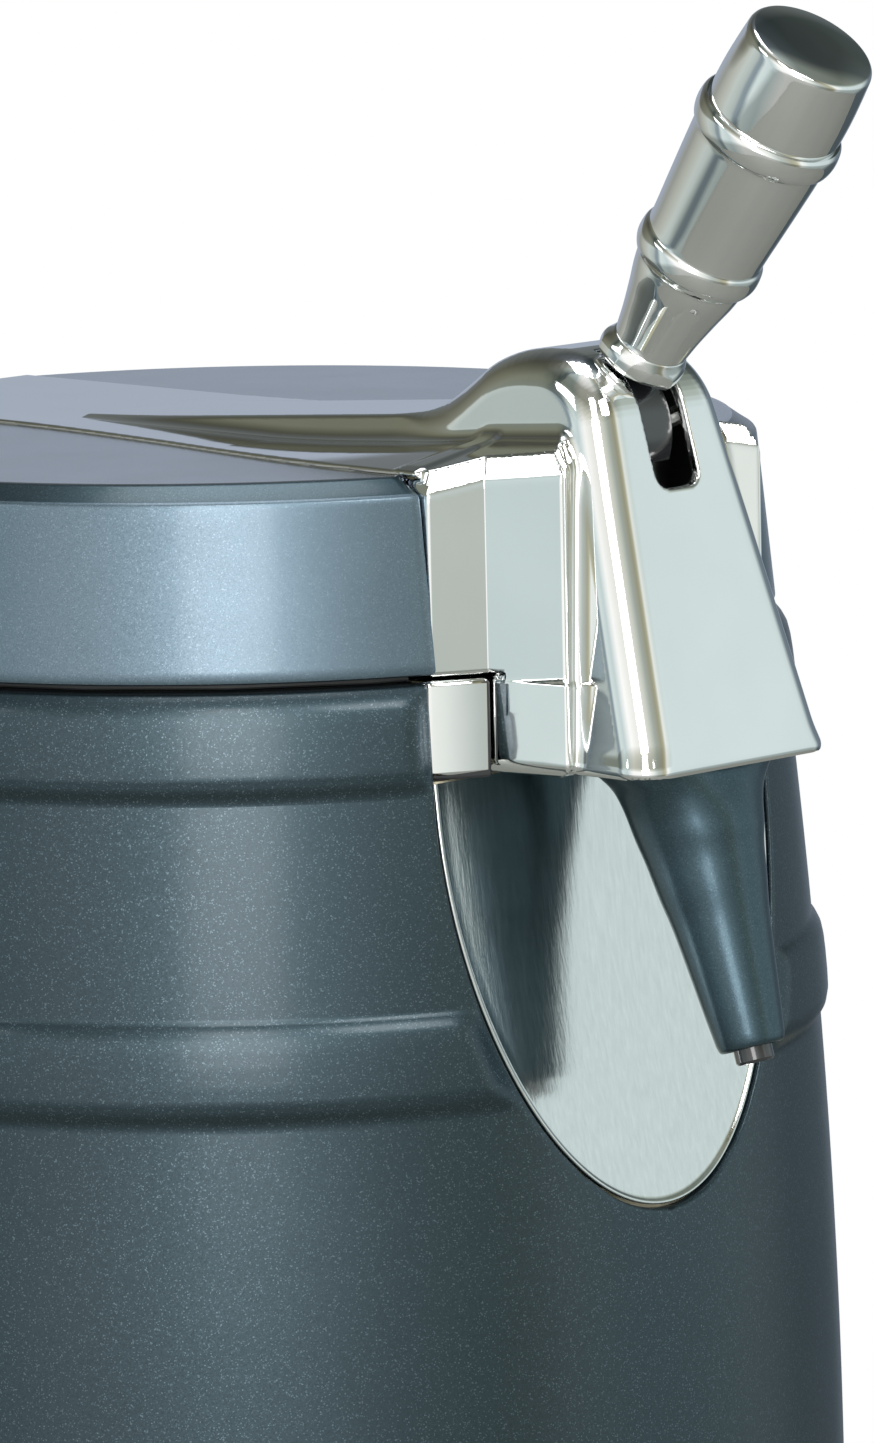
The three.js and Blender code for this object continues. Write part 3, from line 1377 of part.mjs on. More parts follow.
function spoutRings() {
  const spread = TOWER_BASE_HALF_WIDTH - SPOUT_FLARE_MARGIN - SPOUT_NECK_HALF_WIDTH;
  const flare = SPOUT_FLARE.map(([halfDepth, drop], i) => {
    const halfWidth = SPOUT_NECK_HALF_WIDTH + spread * SPOUT_FLARE_SHARES[i];
    const z = LID_TOP - drop;
    const y = -PIVOT_REACH - (PIVOT_LEVEL - z) * Math.tan(radians(SPOUT_LEAN));
    return ([a, b]) => [halfWidth * a, y + halfDepth * b, z];
  });
  const cone = SPOUT_PROFILE.map(([radius, along]) => {
    const [x, y, z] = onSpoutAxis(along);
    const lean = radians(SPOUT_LEAN);
    return ([a, b]) => [x + radius * a, y + radius * b * Math.cos(lean), z - radius * b * Math.sin(lean)];
  });
  const turn = Array.from({ length: ROUND_SIDES }, (_, i) => around(1, (2 * Math.PI * i) / ROUND_SIDES));
  return [...flare, ...cone].map((place) => turn.map(place));
}

function spout() {
  const bottom = TOWER_BOTTOM + SEAT_GAP;
  const top = bottom + SPOUT_FLANGE_THICKNESS;
  const inner = towerHalfWidth(TOWER_BOTTOM) - TOWER_WALL - 2 * SEAT_GAP;
  const front = frontFace(TOWER_CROWN_RADIUS - TOWER_WALL, top)[0] + SEAT_GAP;
  const flange = box(-inner, inner, front, -TOWER_LOWER_REACH - TOWER_WALL - SEAT_GAP, bottom, top);
  const bore = rod(onSpoutAxis(VALVE_END), onSpoutAxis(SPOUT_TIP + OVERRUN), SPOUT_BORE_RADIUS);
  return cut(join(loft(spoutRings()), flange), bore);
}

function spoutNozzle() {
  const end = SPOUT_TIP + NOZZLE_PROUD;
  const outer = SPOUT_BORE_RADIUS - SEAT_GAP;
  return cut(
    rod(onSpoutAxis(end - NOZZLE_LENGTH), onSpoutAxis(end), outer),
    rod(onSpoutAxis(end - NOZZLE_LENGTH - OVERRUN), onSpoutAxis(end + OVERRUN), NOZZLE_BORE_RADIUS),
  );
}

function valveBody() {
  const level = LID_TOP - VALVE_PORT_DROP;
  const y = -PIVOT_REACH - (PIVOT_LEVEL - level) * Math.tan(radians(SPOUT_LEAN));
  return cut(
    join(
      rod(onSpoutAxis(VALVE_START), onSpoutAxis(VALVE_END), VALVE_RADIUS),
      rod([0, y, level], [0, -VALVE_STUB_REACH, level], VALVE_STUB_RADIUS),
    ),
    rod(onSpoutAxis(VALVE_START - OVERRUN), onSpoutAxis(VALVE_END + OVERRUN), PLUNGER_RADIUS + SEAT_GAP),
    rod([0, y, level], [0, -VALVE_STUB_REACH + OVERRUN, level], PORT_BORE_RADIUS),
  );
}

function valvePlunger() {
  return rod(onSpoutAxis(HUB_RADIUS + SEAT_GAP), onSpoutAxis(PLUNGER_END), PLUNGER_RADIUS);
}

// Keg coupler and the tube from it to the valve
function kegCoupler() {
  const bottom = LID_TOP - COUPLER_DROP;
  const top = LID_TOP - COUPLER_TOP_DROP;
  return revolve(
    [
      [COUPLER_BORE_RADIUS, bottom],
      [COUPLER_SKIRT_RADIUS, bottom],
      [COUPLER_SKIRT_RADIUS, bottom + COUPLER_SKIRT_HEIGHT],
      [COUPLER_RADIUS, bottom + COUPLER_SKIRT_HEIGHT],
      [COUPLER_RADIUS, top],
      [COUPLER_BORE_RADIUS, top],
    ],
    ROUND_SIDES,
  );
}

function beerTube() {
  const start = LID_TOP - COUPLER_TOP_DROP + SEAT_GAP;
  const high = LID_TOP - TUBE_LEVEL_DROP;
  const port = LID_TOP - VALVE_PORT_DROP;
  const end = -VALVE_STUB_REACH + SEAT_GAP;
  const path = new THREE.CatmullRomCurve3(
    [
      [0, start],
      [0, start + TUBE_RADIUS],
      [-TUBE_BEND / 2, high - TUBE_RADIUS],
      [-2 * TUBE_BEND, high],
      [end + 3 * TUBE_BEND, high],
      [end + TUBE_BEND, port + TUBE_RADIUS / 2],
      [end + TUBE_RADIUS, port],
      [end, port],
    ].map(([y, z]) => new THREE.Vector3(0, y, z)),
  );
  const section = new THREE.Shape();
  section.absarc(0, 0, TUBE_RADIUS, 0, 2 * Math.PI);
  const bore = new THREE.Path();
  bore.absarc(0, 0, TUBE_BORE_RADIUS, 0, 2 * Math.PI, true);
  section.holes.push(bore);
  return solid(
    new THREE.ExtrudeGeometry(section, {
      steps: TUBE_STEPS,
      curveSegments: TUBE_SIDES / 2,
      extrudePath: path,
    }),
  );
}

// Drip tray and its grille, its straight back just in front of the control panel's buttons
const trayBackReach = fasciaReach + BUTTON_PROUD + TRAY_BARREL_GAP;
const trayCentreReach = trayBackReach + TRAY_BACK_TO_CENTRE;

function trayDisc(inset, z0, z1) {
  const whole = disc(TRAY_RADIUS - inset, z0, z1, BARREL_SIDES).translate([0, -trayCentreReach, 0]);
  return cut(whole, box(-FAR, FAR, -trayBackReach - inset, FAR, z0 - OVERRUN, z1 + OVERRUN));
}

function dripTray() {
  const ledge = TRAY_HEIGHT - GRILLE_DROP - GRILLE_THICKNESS;
  const tongue = box(
    -TRAY_TONGUE_HALF_WIDTH,
    TRAY_TONGUE_HALF_WIDTH,
    -trayBackReach - TRAY_WALL,
    -trayBackReach + TRAY_TONGUE_LENGTH,
    TRAY_TONGUE_LIFT,
    TRAY_TONGUE_LIFT + TRAY_TONGUE_THICKNESS,
  );
  return join(
    cut(
      trayDisc(0, 0, TRAY_HEIGHT),
      trayDisc(TRAY_WALL, ledge, TRAY_HEIGHT + OVERRUN),
      trayDisc(TRAY_WALL + GRILLE_LEDGE, TRAY_FLOOR, TRAY_HEIGHT + OVERRUN),
    ),
    tongue,
  );
}

function dripGrille() {
  const bottom = TRAY_HEIGHT - GRILLE_DROP - GRILLE_THICKNESS + SEAT_GAP;
  const top = bottom + GRILLE_THICKNESS;
  const plate = trayDisc(TRAY_WALL + SEAT_GAP, bottom, top);
  const openings = trayDisc(TRAY_WALL + GRILLE_RIM, bottom - OVERRUN, top + OVERRUN);
  const slots = Array.from({ length: GRILLE_SLOT_COUNT }, (_, i) => {
    const x = (i - (GRILLE_SLOT_COUNT - 1) / 2) * GRILLE_SLOT_PITCH;
    const half = GRILLE_SLOT_WIDTH / 2;
    return box(x - half, x + half, -FAR, 0, bottom - OVERRUN, top + OVERRUN);
  });
  return cut(plate, openings.intersect(join(...slots)));
}

// The assembly
const assembly = new THREE.Group();

function add(parent, name, body, material) {
  const mesh = body.getMesh();
  const places = new Float32Array(mesh.numVert * 3);
  for (let i = 0; i < mesh.numVert; i++) {
    places.set(mesh.vertProperties.subarray(i * mesh.numProp, i * mesh.numProp + 3), i * 3);
  }
  const geometry = new THREE.BufferGeometry();
  geometry.setAttribute("position", new THREE.BufferAttribute(places, 3));
  geometry.setIndex(new THREE.BufferAttribute(new Uint32Array(mesh.triVerts), 1));
  geometry.computeVertexNormals();
  const piece = new THREE.Mesh(geometry, material);
  piece.name = name;
  parent.add(piece);
}

const cabinet = new THREE.Group();
add(cabinet, "base_pan", basePan(), blackPlastic);
footPlaces().forEach((place, i) => add(cabinet, `foot_${i + 1}`, foot(place), rubber));
add(cabinet, "barrel_shell", barrelShell(), paint);
add(cabinet, "splash_plate", splashPlate(), steel);
add(cabinet, "tap_bay_bridge", tapBayBridge(), chrome);
add(cabinet, "inner_tub", innerTub(), aluminium);
add(cabinet, "tub_collar", tubCollar(), greyPlastic);
add(cabinet, "insulation_jacket", insulationJacket(), foam);
add(cabinet, "keg_rest", kegRest(), rubber);
add(
  cabinet,
  "cold_block",
  squareBlock(COLD_BLOCK_WIDTH, coldBlockBottom(), coldBlockBottom() + COLD_BLOCK_HEIGHT),
  aluminium,
);
add(
  cabinet,
  "peltier_module",
  squareBlock(PELTIER_WIDTH, peltierBottom(), peltierBottom() + PELTIER_HEIGHT),
  finish(0xe9e7e0, 0.6, 0),
);
add(cabinet, "heat_sink", heatSink(), aluminium);
add(cabinet, "fan_frame", fanFrame(), blackPlastic);
add(cabinet, "power_supply", powerSupply(), aluminium);
add(cabinet, "control_fascia", controlFascia(), blackPlastic);
add(cabinet, "display_window", displayWindow(), smokedGlass);
add(cabinet, "control_board", controlBoard(), circuit);
add(cabinet, "rear_vent_cover", rearVentCover(), blackPlastic);
screwPlaces().forEach((place, i) => add(cabinet, `cover_screw_${i + 1}`, screw(place, 0), steel));
add(cabinet, "power_inlet", powerInlet(), blackPlastic);
add(cabinet, "hinge_bracket", hingeBracket(), blackPlastic);
add(cabinet, "hinge_pin", hingePin(), steel);

const lid = new THREE.Group();
add(lid, "lid_shell", lidShell(), bandPaint);
add(lid, "lid_liner", lidLiner(), greyPlastic);
add(lid, "lid_insulation", lidInsulation(), foam);
add(lid, "lid_gasket", lidGasket(), rubber);
add(lid, "hinge_leaf", hingeLeaf(), blackPlastic);
add(lid, "tower_housing", towerHousing(), chrome);
add(lid, "lever_pin", leverPin(), steel);
add(lid, "valve_body", valveBody(), greyPlastic);
add(lid, "spout", spout(), paint);
add(lid, "spout_nozzle", spoutNozzle(), blackPlastic);
add(lid, "keg_coupler", kegCoupler(), greyPlastic);
add(lid, "beer_tube", beerTube(), finish(0xd9dcd8, 0.3, 0));

const lever = new THREE.Group();
add(lever, "lever_arm", leverArm(), blackPlastic);
add(lever, "handle_collar", handleCollar(), chrome);
add(lever, "tap_handle", tapHandle(), chrome);
add(lever, "handle_cap", handleCap(), chrome);

const drip = new THREE.Group();
add(drip, "drip_tray", dripTray(), blackPlastic);
add(drip, "drip_grille", dripGrille(), steel);

assembly.add(cabinet, lid, lever, drip);
add(assembly, "valve_plunger", valvePlunger(), steel);
add(assembly, "fan_rotor", fanRotor(), greyPlastic);
["power_button", "warmer_button", "colder_button"].forEach((name, i) =>
  add(assembly, name, button(buttonPlaces[i]), greyPlastic),
);

// The frame's origin is the bottom centre of the whole part
const extent = new THREE.Box3().setFromObject(assembly);
const centre = extent.getCenter(new THREE.Vector3());
assembly.position.set(-centre.x, -centre.y, -extent.min.z);

export default assembly;
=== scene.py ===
"""The dressed model of a barrel-shaped mini keg beer dispenser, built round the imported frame.

Lengths are in millimetres in the barrel's own axes: x to the right, y towards the back from the
barrel's axis, and z up from the lid's rim. place_all() turns them into metres in the frame."""

import math

import bmesh
import bpy
import numpy as np
from mathutils import Matrix, Vector


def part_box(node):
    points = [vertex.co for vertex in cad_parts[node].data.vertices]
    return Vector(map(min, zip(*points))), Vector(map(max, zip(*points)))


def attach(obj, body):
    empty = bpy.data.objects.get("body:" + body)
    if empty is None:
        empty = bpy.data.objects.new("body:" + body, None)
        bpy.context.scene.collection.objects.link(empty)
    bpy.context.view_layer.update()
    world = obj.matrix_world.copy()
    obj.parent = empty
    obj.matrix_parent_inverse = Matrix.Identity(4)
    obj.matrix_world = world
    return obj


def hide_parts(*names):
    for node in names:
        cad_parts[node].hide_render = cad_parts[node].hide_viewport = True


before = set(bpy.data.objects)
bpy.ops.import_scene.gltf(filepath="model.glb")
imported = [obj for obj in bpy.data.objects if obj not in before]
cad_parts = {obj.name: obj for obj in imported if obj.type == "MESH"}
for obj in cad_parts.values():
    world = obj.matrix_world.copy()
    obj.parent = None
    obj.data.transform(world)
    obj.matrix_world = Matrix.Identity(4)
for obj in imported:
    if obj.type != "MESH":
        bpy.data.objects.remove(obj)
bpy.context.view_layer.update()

MM = 0.001

# The barrel's axis and the lid's rim, read from the frame
SHELL_LOW, SHELL_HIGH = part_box("barrel_shell")
AXIS_Y = (SHELL_LOW[1] + SHELL_HIGH[1]) / 2
RIM_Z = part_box("lid_shell")[1][2]

# Barrel and lid
BARREL_BOTTOM = (SHELL_LOW[2] - RIM_Z) / MM
BARREL_TOP = (SHELL_HIGH[2] - RIM_Z) / MM
BARREL_HEIGHT = BARREL_TOP - BARREL_BOTTOM
BARREL_MIDDLE = (BARREL_TOP + BARREL_BOTTOM) / 2
BULGE_RADIUS = 129.9
END_RADIUS = 118.0
FLANGE_RADIUS = 113.0
FLANGE_DROP = 2.2
RETURN_INSET = 3.2
RETURN_HEIGHT = 6.0
EDGE_ROUND = 1.3
RIB_HEIGHT = 2.2
RIB_WIDTH = 22.0
RIB_DROPS = (11.7, 78.2)
RIB_FADE = (0.8, 7.0)
FAR = 99.0
BARREL_COLUMNS = 92
# Steps of a rolled lip at the bay: distance into the wall and depth below the surface
BARREL_LIP = [(0.0, 2.2), (0.0, 0.9), (0.12, 0.45), (0.45, 0.12), (0.9, 0.0)]
PANEL_LOW, PANEL_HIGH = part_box("control_fascia")
PANEL_FOOT, PANEL_TOP = (PANEL_LOW[2] - RIM_Z) / MM, (PANEL_HIGH[2] - RIM_Z) / MM
PANEL_REACH = (AXIS_Y - PANEL_LOW[1]) / MM
PANEL_COVER = 30
PANEL_SETBACK = 1.0
LID_BOTTOM = -40.6
LID_SHOULDER = -3.4
LID_BASE_RADIUS = 117.7
LID_SHOULDER_RADIUS = 114.1
LID_RIM_RADIUS = 108.9
# The lid's lip in the same way, then the radii of the rings on its top
LID_LIP = [(0.0, 2.2), (0.0, 0.7), (0.25, 0.25), (0.8, 0.0)]
LID_TOP_RINGS = [107.9, 107.7, 107.5, 106, 104, 102, 100, 98.5, 97.6, 97.2, 97.0]
LID_TOP_RINGS += [96, 92, 84, 74, 62, 50, 38, 26, 14, 5, 0.5]
LID_COLUMNS = 80
NOTCH_CLEARANCE = 0.2
SEAM = 1e-5

# Tap bay
BAY_HALF_WIDTH = 49.9
BAY_TOP_HALF_WIDTH = 46.4
BAY_HEAD = 6
BAY_SPRING = -69.7
BAY_ARCH_DEPTH = 87.5
BAY_FOOT = BAY_SPRING - BAY_ARCH_DEPTH
BAY_BACK = -97.1

# Tower, lever and spout
PIVOT_Y = -111.6
PIVOT_Z = 5.8
CROWN_RADIUS = 18.2
FACE_LEAN = math.radians(16.6)
TOWER_BOTTOM = -62.4
TOWER_WALL = 2.4
LOWER_WING_TOP = -41.5
SPOUT_LEAN = math.radians(17.43)
LEVER_LEAN = math.radians(36.3)
STRIP_RADIUS = 15.4
STRIP_THICKNESS = 1.3
STRIP_HALF_WIDTH = 5.0
STRIP_TURNS = (-21, 112)


def place_all(points):
    """Points in the barrel's axes as points in metres in the frame."""
    points = np.asarray(points, float) * MM
    return points + np.array([0.0, AXIS_Y, RIM_Z])


def smoothstep(low, high, value):
    t = np.clip((value - low) / (high - low), 0, 1)
    return t * t * (3 - 2 * t)


# Material nodes
FLAKE_SCALE = 4200.0


def new_material(name):
    material = bpy.data.materials.new(name)
    material.use_nodes = True
    tree = material.node_tree
    shader = tree.nodes["Principled BSDF"]
    return material, tree, shader


def feed(tree, made, inputs):
    """Links sockets to a node's inputs and sets plain values on them."""
    for key, value in inputs.items():
        if isinstance(value, bpy.types.NodeSocket):
            tree.links.new(value, made.inputs[key])
        else:
            made.inputs[key].default_value = value


def node(tree, kind, inputs=None, **settings):
    made = tree.nodes.new(kind)
    for key, value in settings.items():
        setattr(made, key, value)
    feed(tree, made, inputs or {})
    return made


def mix_colors(tree, factor, a, b, blend="MIX"):
    values = {"Factor": factor, "A": a, "B": b}
    return node(tree, "ShaderNodeMix", values, data_type="RGBA", blend_type=blend).outputs["Result"]


def vector_math(tree, operation, values):
    return node(tree, "ShaderNodeVectorMath", values, operation=operation).outputs[0]


def coordinates(tree, stretch=(1, 1, 1)):
    where = node(tree, "ShaderNodeTexCoord").outputs["Object"]
    return node(tree, "ShaderNodeMapping", {"Vector": where, "Scale": stretch}).outputs[0]


def noise(tree, where, scale, detail=3.0, roughness=0.5):
    values = {"Vector": where, "Scale": scale, "Detail": detail, "Roughness": roughness}
    return node(tree, "ShaderNodeTexNoise", values).outputs["Fac"]


def ramp(tree, value, stops):
    made = node(tree, "ShaderNodeValToRGB", {"Fac": value})
    elements = made.color_ramp.elements
    for index, (at, color) in enumerate(stops):
        element = elements[index] if index < 2 else elements.new(at)
        element.position = at
        element.color = (*color, 1) if len(color) == 3 else color
    return made.outputs["Color"]


def span(tree, value, low, high):
    values = {"Value": value, "To Min": low, "To Max": high}
    return node(tree, "ShaderNodeMapRange", values).outputs[0]


def bump(tree, height, strength, distance):
    values = {"Height": height, "Strength": strength, "Distance": distance}
    return node(tree, "ShaderNodeBump", values).outputs["Normal"]


def flake_paint(name, dark, light, flake, roughness, grain, coat=0.5, gloss=0.14):
    """Metallic paint: fine flakes of unlike brightness and tilt under a clear coat."""
    material, tree, shader = new_material(name)
    where = coordinates(tree)
    cells = node(tree, "ShaderNodeTexVoronoi", {"Vector": where, "Scale": FLAKE_SCALE})
    cell_color = cells.outputs["Color"]
    brightness = node(tree, "ShaderNodeSeparateColor", {"Color": cell_color}).outputs[0]
    base = ramp(tree, brightness, [(0.0, dark), (0.5, light), (0.9, light), (1.0, flake)])
    shades = [(0.3, (0.86, 0.87, 0.88)), (0.7, (1.0, 1.0, 1.0))]
    cloud = ramp(tree, noise(tree, where, 14.0), shades)
    centred = vector_math(tree, "SUBTRACT", {0: cell_color, 1: (0.5, 0.5, 0.5)})
    tilt = vector_math(tree, "SCALE", {0: centred, "Scale": grain})
    facing = node(tree, "ShaderNodeNewGeometry").outputs["Normal"]
    tilted = vector_math(tree, "ADD", {0: facing, 1: tilt})
    sockets = {
        "Base Color": mix_colors(tree, 1.0, base, cloud, "MULTIPLY"),
        "Normal": vector_math(tree, "NORMALIZE", {0: tilted}),
        "Roughness": span(tree, noise(tree, where, 60.0), roughness - 0.03, roughness + 0.04),
        "Metallic": 0.85,
        "Coat Weight": coat,
        "Coat Roughness": gloss,
    }
    feed(tree, shader, sockets)
    return material


def chrome():
    """Plated metal with a faint orange peel and smears in its gloss."""
    material, tree, shader = new_material("chrome")
    where = coordinates(tree)
    tint = [(0.3, (0.86, 0.87, 0.865)), (0.7, (0.92, 0.925, 0.92))]
    sockets = {
        "Base Color": ramp(tree, noise(tree, where, 30.0), tint),
        "Roughness": span(tree, noise(tree, where, 45.0, 4.0), 0.03, 0.075),
        "Normal": bump(tree, noise(tree, where, 70.0, 2.0), 0.05, 0.0006),
        "Metallic": 1.0,
    }
    feed(tree, shader, sockets)
    return material


def brushed_steel(name, stretch, base=(0.62, 0.63, 0.61), roughness=0.24):
    """Steel with fine lines drawn along its grain."""
    material, tree, shader = new_material(name)
    lines = noise(tree, coordinates(tree, stretch), 1.0, 5.0, 0.7)
    dark = tuple(channel * 0.86 for channel in base)
    sockets = {
        "Base Color": ramp(tree, lines, [(0.3, dark), (0.7, base)]),
        "Roughness": span(tree, lines, roughness - 0.05, roughness + 0.08),
        "Normal": bump(tree, lines, 0.12, 0.0002),
        "Metallic": 1.0,
    }
    feed(tree, shader, sockets)
    return material


def plastic(name, color, roughness=0.45, grain=900.0, depth=0.25, coat=0.0):
    """Moulded plastic or rubber with a fine texture and slight blooms of shade."""
    material, tree, shader = new_material(name)
    where = coordinates(tree)
    light = tuple(min(1.0, channel * 1.25 + 0.004) for channel in color)
    sockets = {
        "Base Color": ramp(tree, noise(tree, where, 22.0), [(0.3, color), (0.75, light)]),
        "Roughness": span(tree, noise(tree, where, 90.0), roughness - 0.05, roughness + 0.06),
        "Normal": bump(tree, noise(tree, where, grain, 2.0), depth, 0.0001),
        "Coat Weight": coat,
    }
    feed(tree, shader, sockets)
    return material


BARREL_TONES = (0.030, 0.054, 0.068), (0.042, 0.072, 0.090), (0.14, 0.20, 0.24)
# The band's tones are the barrel's paint made lighter: a painted sheen where the band catches more
# light
BAND_SHEEN_TONES = (0.125, 0.185, 0.235), (0.155, 0.22, 0.275), (0.23, 0.31, 0.38)
# The lid top's tones are the same paint made lighter and more lavender: a painted reflection of a
# bright sky at a grazing angle
LID_REFLECTION_TONES = (0.26, 0.295, 0.345), (0.29, 0.33, 0.385), (0.32, 0.37, 0.42)
SPOUT_TONES = (0.050, 0.088, 0.110), (0.066, 0.110, 0.136), (0.10, 0.16, 0.20)
# The lid bevel's tones are the same paint made darker: painted shade on the rounded edge
EDGE_SHADE_TONES = (0.040, 0.075, 0.095), (0.055, 0.095, 0.118), (0.09, 0.14, 0.17)
BARREL_PAINT = flake_paint("barrel_paint", *BARREL_TONES, 0.40, 0.07, 0.5, 0.2)
BAND_PAINT_AND_SHEEN = flake_paint("band_paint", *BAND_SHEEN_TONES, 0.38, 0.05)
LID_TOP_PAINTED_REFLECTION = flake_paint("lid_top_painted_reflection", *LID_REFLECTION_TONES, 0.16, 0.012)
SPOUT_PAINT = flake_paint("spout_paint", *SPOUT_TONES, 0.30, 0.03, 0.2)
LID_EDGE_PAINTED_SHADE = flake_paint("lid_edge_painted_shade", *EDGE_SHADE_TONES, 0.30, 0.03)
CHROME = chrome()
SPLASH_STEEL = brushed_steel("splash_steel", (900.0, 900.0, 9.0), (0.84, 0.86, 0.85), 0.10)
GRILLE_STEEL = brushed_steel("grille_steel", (18.0, 1400.0, 1400.0))
TURNED_STEEL = brushed_steel("turned_steel", (300.0, 300.0, 1400.0))
ALUMINIUM = brushed_steel("aluminium", (60.0, 60.0, 900.0), (0.66, 0.68, 0.70), 0.32)
STRIP_BLACK = plastic("strip_black", (0.020, 0.021, 0.024), 0.18, 500.0, 0.05, 0.9)
BLACK_PLASTIC = plastic("black_plastic", (0.020, 0.021, 0.023), 0.42)
SATIN_BLACK = plastic("satin_black", (0.026, 0.027, 0.030), 0.30, 1400.0, 0.12)
GREY_PLASTIC = plastic("grey_plastic", (0.22, 0.23, 0.25), 0.45)
KEY_GREY = plastic("key_grey", (0.34, 0.35, 0.37), 0.38)
RUBBER = plastic("rubber", (0.014, 0.014, 0.015), 0.72, 700.0, 0.5)
FOAM = plastic("foam", (0.72, 0.67, 0.50), 0.85, 260.0, 0.8)
WINDOW_BLACK = plastic("window_black", (0.010, 0.011, 0.014), 0.08, 60.0, 0.02, 0.8)
CIRCUIT = plastic("circuit_board", (0.02, 0.14, 0.07), 0.5)
CERAMIC = plastic("ceramic", (0.78, 0.77, 0.72), 0.55)
GASKET = plastic("gasket", (0.028, 0.029, 0.031), 0.5, 200.0, 0.1)
SILICONE = plastic("silicone", (0.62, 0.64, 0.61), 0.30, 200.0, 0.1)


# Mesh helpers
def make_piece(name, verts, faces, material, body, stands_for=(), normals=None):
    """A mesh object from points in millimetres, riding on a body."""
    mesh = bpy.data.meshes.new(name)
    points = [tuple(p) for p in place_all(verts)]
    mesh.from_pydata(points, [], [tuple(int(i) for i in f) for f in faces])
    mesh.update()
    mesh.materials.append(material)
    mesh.shade_smooth()
    if normals is not None:
        mesh.normals_split_custom_set_from_vertices([tuple(n) for n in normals])
    piece = bpy.data.objects.new(name, mesh)
    bpy.context.scene.collection.objects.link(piece)
    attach(piece, body)
    if stands_for:
        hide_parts(*stands_for)
    return piece


def weld(piece, distance=1e-6):
    """Joins points closer than a distance in metres and turns the faces outwards."""
    made = bmesh.new()
    made.from_mesh(piece.data)
    bmesh.ops.remove_doubles(made, verts=made.verts, dist=distance)
    bmesh.ops.dissolve_degenerate(made, edges=made.edges, dist=distance / 10)
    bmesh.ops.recalc_face_normals(made, faces=made.faces)
    made.to_mesh(piece.data)
    made.free()


def auto_smooth(piece, degrees):
    """Smooth shading except over edges sharper than the angle."""
    made = bmesh.new()
    made.from_mesh(piece.data)
    limit = math.radians(degrees)
    for edge in made.edges:
        edge.smooth = edge.calc_face_angle(0.0) < limit
    made.to_mesh(piece.data)
    made.free()


def bevel(piece, width, segments, degrees=35):
    """Rounds the edges sharper than the angle, by a width in millimetres."""
    modifier = piece.modifiers.new("rounded edges", "BEVEL")
    modifier.width = width * MM
    modifier.segments = segments
    modifier.limit_method = "ANGLE"
    modifier.angle_limit = math.radians(degrees)
    modifier.harden_normals = False


def grid_faces(rows, columns, closed=False):
    """Faces between rows of points, round to the first column where the rows are closed."""
    faces = []
    across = columns if closed else columns - 1
    for i in range(rows - 1):
        for j in range(across):
            k = (j + 1) % columns
            upper, lower = i * columns, (i + 1) * columns
            faces.append((upper + j, upper + k, lower + k, lower + j))
    return faces


def turned(name, profile, material, body, stands_for, sides, lean):
    """A profile of (radius, along) turned round an axis that leans forward through the pivot."""
    verts = []
    for radius, along in profile:
        for i in range(sides):
            turn = 2 * math.pi * i / sides
            a, b = radius * math.cos(turn), radius * math.sin(turn)
            y = PIVOT_Y + b * math.cos(lean) - along * math.sin(lean)
            z = PIVOT_Z + b * math.sin(lean) + along * math.cos(lean)
            verts.append((a, y, z))
    faces = grid_faces(len(profile), sides, True)
    piece = make_piece(name, verts, faces, material, body, stands_for)
    weld(piece)
    auto_smooth(piece, 38)


# Barrel form
def barrel_radius(z):
    share = (z - BARREL_MIDDLE) / (BARREL_HEIGHT / 2)
    return BULGE_RADIUS - (BULGE_RADIUS - END_RADIUS) * share**2


RIB_LEVELS = [BARREL_TOP - d for d in RIB_DROPS] + [BARREL_BOTTOM + d for d in RIB_DROPS]
RIB_ACROSS = [-0.5, -0.44, -0.36, -0.25, -0.1, 0.1, 0.25, 0.36, 0.44, 0.5]
RIB_RISE = [0, 0.18, 0.68, 0.95, 1, 1, 0.95, 0.8, 0.45, 0]


def rib_height(z):
    places = [(z - level) / RIB_WIDTH for level in RIB_LEVELS]
    return RIB_HEIGHT * sum(np.interp(at, RIB_ACROSS, RIB_RISE, left=0, right=0) for at in places)


def bay_edge(z):
    """Half width of the tap bay at a level, and 0 below it."""
    if z >= BAY_SPRING:
        share = min(1, (BAY_HEAD - z) / (BAY_HEAD - BAY_SPRING))
        return BAY_TOP_HALF_WIDTH + (BAY_HALF_WIDTH - BAY_TOP_HALF_WIDTH) * share
    share = (BAY_SPRING - z) / BAY_ARCH_DEPTH
    return BAY_HALF_WIDTH * math.sqrt(max(0, 1 - share * share))


def bay_normal(z):
    """Unit normal of the bay's outline, pointing into the barrel's wall, as (across, up)."""
    if z >= BAY_SPRING:
        return 1.0, 0.0
    across = bay_edge(z) / BAY_HALF_WIDTH**2
    up = (z - BAY_SPRING) / BAY_ARCH_DEPTH**2
    length = math.hypot(across, up)
    return across / length, up / length


def barrel_levels():
    """Levels of the barrel's rows: close at the hoops, the foot of the arch and the panel's top."""
    low, high = BARREL_BOTTOM + EDGE_ROUND, BARREL_TOP - EDGE_ROUND
    levels = set(np.round(np.linspace(low, high, 76), 3))
    reach = RIB_WIDTH / 2 + 1
    for level in RIB_LEVELS:
        levels |= set(np.round(np.linspace(level - reach, level + reach, 30), 3))
    levels = {z for z in levels if not BAY_FOOT - 0.9 < z < BAY_FOOT + 6}
    turns = np.radians(np.arange(0, 21, 1.75))
    levels |= {round(BAY_SPRING - BAY_ARCH_DEPTH * math.cos(a), 3) for a in turns}
    levels |= {PANEL_TOP, PANEL_TOP + 0.5}
    return sorted((z for z in levels if low <= z <= high), reverse=True)


def rounded_edge(level, inwards):
    """Rows of (level, inset) round an edge whose wall continues on the given side of it."""
    rows = []
    for a in np.linspace(0, math.pi / 2, 6):
        drop = EDGE_ROUND * (1 - math.cos(a))
        rows.append((level - inwards * drop, EDGE_ROUND * (1 - math.sin(a))))
    return rows


